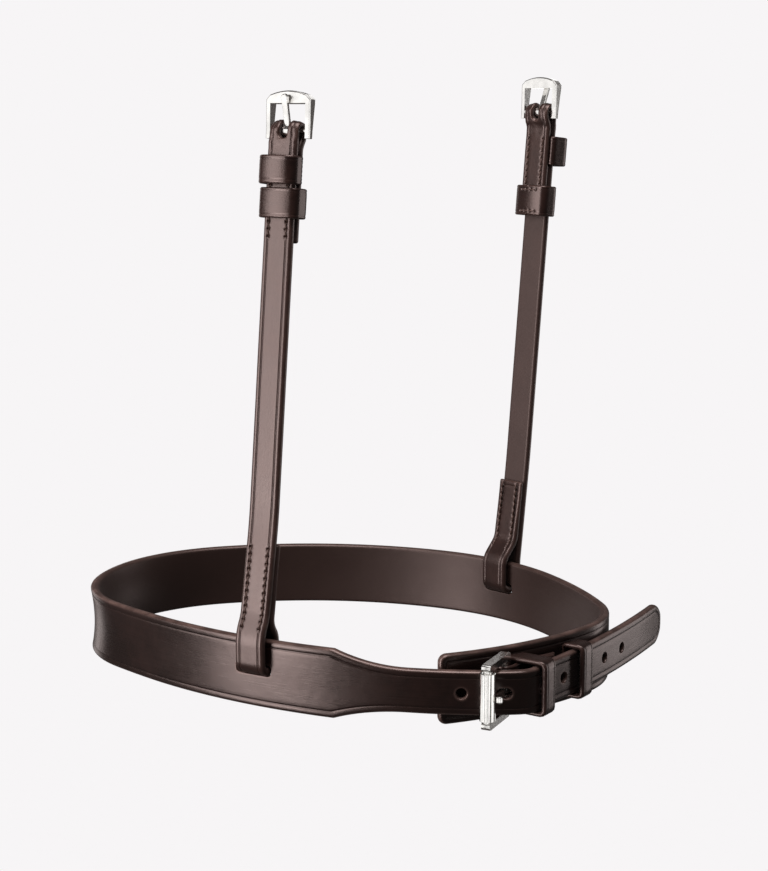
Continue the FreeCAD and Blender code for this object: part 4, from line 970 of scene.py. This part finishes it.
def cheek_strap(cheek):
    """The long strip: up inside the band, through the slot, up, over the buckle's bar and down."""
    side, lay = cheek.side, cheek.lay
    half = CHEEK_PLY / 2
    foot = cheek.double[1] + CHEEK_STACK / 2 * cos(cheek.low_angle)
    steep = sin(cheek.low_angle)
    low_rows = [(LOWER_STITCH_TOP - STITCH_PITCH * k - foot) / steep for k in range(STITCH_COUNT)]
    top_rows = [TOP_STITCH_START - FOLD_BACK + STITCH_PITCH * k for k in range(STITCH_COUNT - 1)]
    low_runs, top_runs, pits = [], [], []
    for rows, find, runs in ((low_rows, cheek.low_place, low_runs), (top_rows, cheek.top_place, top_runs)):
        for ply in (1, -1):
            places = [find(up, ply) for up in rows]
            for t in (STITCH_INSET - CHEEK_WIDTH / 2, CHEEK_WIDTH / 2 - STITCH_INSET):
                pits += [(s, t) for s in places]
                for a, b in zip(places, places[1:]):
                    runs.append((lay, (a, t), (b, t), half))

    seat_low = cheek.data["keeper"] - cheek.data["keeper_height"] / 2 - SEAT_ROOM
    seat_high = cheek.data["keeper"] + cheek.data["keeper_height"] / 2 + SEAT_ROOM
    seats = [sorted((cheek.top_place(seat_low, ply), cheek.top_place(seat_high, ply))) for ply in (1, -1)]

    fold = (cheek.bar_at, cheek.bar_at + FOLD_RADIUS * pi)

    def at_fold(s):
        """1 on the fold over the bar, 0 a little way from it."""
        return smooth(fold[0] - 5, fold[0] + 0.5, s) * (1 - smooth(fold[1] - 0.5, fold[1] + 5, s))

    def flesh(s, t):
        """The plies are hollowed where the fixed keeper's leg lies between them."""
        cover = np.zeros(len(s))
        for low, high in seats:
            seat = smooth(low - SEAT_SLOPE, low, s) * (1 - smooth(high, high + SEAT_SLOPE, s))
            cover = np.maximum(cover, seat)
        return half - (KEEPER_LEG / 2 + SEWN_GAP) * cover

    def grain(s, t):
        """The turned-up end and the fold over the bar are pared thinner."""
        return half - TURN_UP_PARING * (1 - smooth(*PARED_ALONG, s)) - FOLD_PARING * at_fold(s)

    def surface(s, t):
        """Unevenness of the hide, wrinkles beside the fold and two full lobes on it."""
        near_fold = smooth(fold[0] - 20, fold[0] - 3, s) * (1 - smooth(fold[1] + 3, fold[1] + 16, s))
        wrinkles = wave(s, t, 1.8, 6.0, 9.3) + 0.7 * wave(s, t, 1.1, 1.6, 4.4)
        lobes = 0.25 * at_fold(s) * np.cos(t / CHEEK_WIDTH * 4 * pi)
        return 0.05 * wave(s, t, 16.0, 9.0, 5.7) + 0.28 * near_fold * wrinkles - lobes

    slot = rounded((fold[0] - FOLD_SLOT_DEPTH, -FOLD_SLOT_WIDTH / 2),
                   (fold[1] + FOLD_SLOT_DEPTH + 0.4, FOLD_SLOT_WIDTH / 2), FOLD_SLOT_WIDTH / 2 - 0.1)
    outline = rounded((0, -CHEEK_WIDTH / 2), (cheek.path.length, CHEEK_WIDTH / 2), 0.8)
    leather_piece("cheek_leather_" + side, lay, outline, "cheek_" + side, "cheek_strap_" + side, CHEEK,
                  "strap_leather", grain, flesh, holes=[slot], hole_rim=0.5, crease=2.1,
                  crease_depth=0.17, pitch=0.85, pits=pits, extra=surface)
    thread_piece("lower_thread_" + side, low_runs, "cheek_" + side, "lower_stitching_" + side, THREAD)
    thread_piece("upper_thread_" + side, top_runs, "cheek_" + side, "upper_stitching_" + side, THREAD)


def ring_stretches(half_x, low_y, high_y, low_corner, high_corner, low_crown, high_crown):
    """Loop from the middle of its low side round to the same point, counter-clockwise.

    A crown in degrees bends a flat side outwards, so that it meets its corners at that angle.
    """
    def side(corner, crown):
        angle = radians(crown)
        if crown == 0:
            return [(half_x - corner, 0)], corner, corner * pi / 2
        radius = (half_x - corner * (1 - sin(angle))) / sin(angle)
        height = corner * cos(angle) + radius * (1 - cos(angle))
        return [(radius * angle, crown)], height, corner * (pi / 2 - angle)

    low, low_height, low_turn = side(low_corner, low_crown)
    high, high_height, high_turn = side(high_corner, high_crown)
    rise = (high_y - low_y - low_height - high_height, 0)
    low_arc, high_arc = (low_turn, 90 - low_crown), (high_turn, 90 - high_crown)
    return low + [low_arc, rise, high_arc] + high + high + [high_arc, rise, low_arc] + low


def fixed_keeper(cheek):
    """Loop whose thin leg is sewn in between the plies."""
    data = cheek.data
    leather = FIXED_LEATHER / 2
    half_x = CHEEK_WIDTH / 2 + FIXED_ROOM + leather
    high_y = CHEEK_STACK / 2 + CHEEK_PLY / 2 + data["keeper_stand"] + leather
    stretches = ring_stretches(half_x, 0.0, high_y + KEEPER_CROWN_ROOM, FIXED_LEG_CORNER,
                               FIXED_CORNER + leather, 0.0, KEEPER_CROWN)
    path = Path((0, 0, 0), stretches)
    leg = stretches[0][0]

    def half_thickness(s, t):
        share = smooth(-0.6, 0.8, np.minimum(s, path.length - s) - leg)
        return KEEPER_LEG / 2 - LEG_SHAVE + (leather - KEEPER_LEG / 2) * share

    low = data["keeper"] - data["keeper_height"] / 2
    loop_piece("fixed_keeper_leather_" + cheek.side, Lay(path, cheek.top), (low, low + data["keeper_height"]),
               "cheek_" + cheek.side, "fixed_keeper_" + cheek.side, half_thickness, 0.75, 1.5)


def runner(cheek):
    """Loose loop round the strap, sewn together in the middle of its inner side."""
    data = cheek.data
    leather = RUNNER_LEATHER / 2
    half_x = CHEEK_WIDTH / 2 + FIXED_ROOM + RUNNER_ROOM + leather
    deep = CHEEK_STACK / 2 + CHEEK_PLY / 2 + RUNNER_ROOM + leather + KEEPER_CROWN_ROOM
    corner = RING_CORNER + leather
    stretches = ring_stretches(half_x, -deep, deep, corner, corner, KEEPER_CROWN, KEEPER_CROWN)
    path = Path((0, -deep, 0), stretches)
    low = data["runner"] - data["runner_height"] / 2
    high = low + data["runner_height"]
    lay = Lay(path, cheek.top)
    places = [RUNNER_STITCH * k for k in (-1.5, -0.5, 0.5, 1.5)]
    runs, pits = [], []
    for t in (low + RUNNER_STITCH_INSET, high - RUNNER_STITCH_INSET):
        for a, b in zip(places, places[1:]):
            base = path.length if b < 0 else 0
            runs.append((lay, (base + a, t), (base + b, t), leather))
        pits += [(s if s > 0 else path.length + s, t) for s in places]
    body = "runner_" + cheek.side
    loop_piece("runner_leather_" + cheek.side, lay, (low, high), body, "runner_keeper_" + cheek.side,
               even(leather), 0.7, 1.2, pits=pits, pit_depth=0.35)
    thread_piece("runner_thread_" + cheek.side, runs, body, "runner_stitching_" + cheek.side, THREAD,
                 radius=FINE_THREAD)


for side, data in CHEEKS.items():
    cheek = Cheek(side, data)
    cheek_strap(cheek)
    fixed_keeper(cheek)
    runner(cheek)


# ---- Metal ----
METAL_NODES = ["main_buckle_frame", "main_buckle_tongue", "main_buckle_roller"]
METAL_NODES += ["cheek_buckle_%s_%s" % (part, side) for side in CHEEKS for part in ("frame", "tongue")]
WELD_DISTANCE = 0.00001
FRAME_BEVEL = 0.00045
SMALL_BEVEL = 0.0002
BEVEL_FROM = 32


def dress_metal(node):
    """Nickel finish and softened edges on a CAD metal part."""
    piece = frame["nodes"][node]
    piece.data.materials.clear()
    piece.data.materials.append(METAL)
    weld = piece.modifiers.new("weld", "WELD")
    weld.merge_threshold = WELD_DISTANCE
    bevel = piece.modifiers.new("soft_edges", "BEVEL")
    bevel.width = FRAME_BEVEL if "frame" in node else SMALL_BEVEL
    bevel.segments = 4
    bevel.limit_method = "ANGLE"
    bevel.angle_limit = radians(BEVEL_FROM)
    piece.data.shade_smooth()
    normals = piece.modifiers.new("even_shading", "WEIGHTED_NORMAL")
    normals.weight = 80


for node in METAL_NODES:
    dress_metal(node)


# ---- Studio ----
PAPER = (0.930, 0.913, 0.922)
WARM = (1.0, 0.88, 0.855)
WHITE = (1.0, 1.0, 1.0)


def camera():
    """Camera 33 degrees round from the front and looking 10 degrees down."""
    data = bpy.data.cameras.new("camera")
    data.lens = 75.02
    data.sensor_width = 36.0
    data.clip_start, data.clip_end = 0.05, 20.0
    rig = bpy.data.objects.new("camera", data)
    rig.location = (0.3840, -0.5638, 0.2115)
    rig.rotation_euler = (radians(90 - 10.26), 0, radians(33))
    bpy.context.scene.collection.objects.link(rig)
    bpy.context.scene.camera = rig


def paper_material():
    """Pale, evenly lit paper with a faint fibre."""
    n = Nodes(bpy.data.materials.new("pale_paper"))
    fibre = n.noise(n.add("TexCoord").outputs["Object"], 300.0, 3.0)
    low, high = (tuple(share * value for value in PAPER) + (1.0,) for share in (0.995, 1.005))
    return n.output(n.add("Emission", {"Color": n.mix(fibre, low, high), "Strength": 1.0}))


def floor():
    """Plain pale floor that no lamp or reflection takes notice of."""
    half = 6.0
    corners = [(-half, -half, 0), (half, -half, 0), (half, half, 0), (-half, half, 0)]
    mesh = bpy.data.meshes.new("floor")
    mesh.from_pydata(corners, [], [(0, 1, 2, 3)])
    mesh.materials.append(paper_material())
    plane = bpy.data.objects.new("floor", mesh)
    plane.location.z = -0.0002
    plane.visible_diffuse = plane.visible_glossy = plane.visible_shadow = False
    bpy.context.scene.collection.objects.link(plane)


metal_only = bpy.data.collections.new("metal_only")
leather_only = bpy.data.collections.new("leather_only")
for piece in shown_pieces():
    group = metal_only if piece.name in METAL_NODES else leather_only
    group.objects.link(piece)


def softbox(name, bearing, height, distance, width, tall, power, lit):
    """Area light at a bearing (degrees from +X) and height, facing the object."""
    data = bpy.data.lights.new(name, "AREA")
    data.shape = "RECTANGLE"
    data.size, data.size_y = width, tall
    data.energy = power
    data.color = WARM if lit is leather_only else WHITE
    lamp = bpy.data.objects.new(name, data)
    angle = radians(bearing)
    lamp.location = (distance * cos(angle), distance * sin(angle), height)
    aim = Vector((0.0, 0.0, 0.09)) - lamp.location
    lamp.rotation_euler = aim.to_track_quat("-Z", "Y").to_euler()
    lamp.visible_camera = False
    lamp.light_linking.receiver_collection = lit
    bpy.context.scene.collection.objects.link(lamp)


def world():
    """White to the camera, grey to everything else."""
    sky = bpy.data.worlds.new("studio")
    bpy.context.scene.world = sky
    n = Nodes(sky)
    camera_ray = n.add("LightPath").outputs["Is Camera Ray"]
    seen = n.add("Background", {"Color": (*PAPER, 1.0)}).outputs[0]
    room = n.add("Background", {"Color": (1.0, 0.90, 0.87, 1.0), "Strength": 0.09}).outputs[0]
    both = n.add("MixShader", {0: camera_ray, 1: room, 2: seen}).outputs[0]
    n.add("OutputWorld", {"Surface": both})


world()
floor()
# Name, bearing, height, distance, width, tall and power of each lamp.
for lamp in (("key", -121.0, 0.52, 1.15, 0.75, 0.90, 14.0), ("low_key", -114.0, -0.12, 1.15, 0.50, 0.45, 9.5),
             ("overhead", -60.0, 1.3, 0.3, 0.9, 0.9, 24.0), ("left_rim", 168.0, 0.05, 1.3, 0.4, 0.9, 1.5),
             ("right_rim", 58.0, 0.05, 1.3, 0.5, 0.9, 3.0)):
    softbox(*lamp, leather_only)
METAL_TENT = ((-157.0, 0.70, 3.2), (-118.0, 0.55, 2.9), (-84.0, 0.45, 2.2),
              (-45.0, 0.75, 4.2), (15.0, 0.75, 4.2), (95.0, 0.75, 4.2))
for number, (bearing, width, power) in enumerate(METAL_TENT):
    softbox("metal_tent_%d" % number, bearing, 0.08, 1.0, width, 1.4, power, metal_only)
softbox("metal_top", -60.0, 1.2, 0.2, 1.0, 1.0, 4.0, metal_only)
camera()
bpy.context.scene.view_settings.view_transform = "Standard"
bpy.context.scene.view_settings.look = "None"
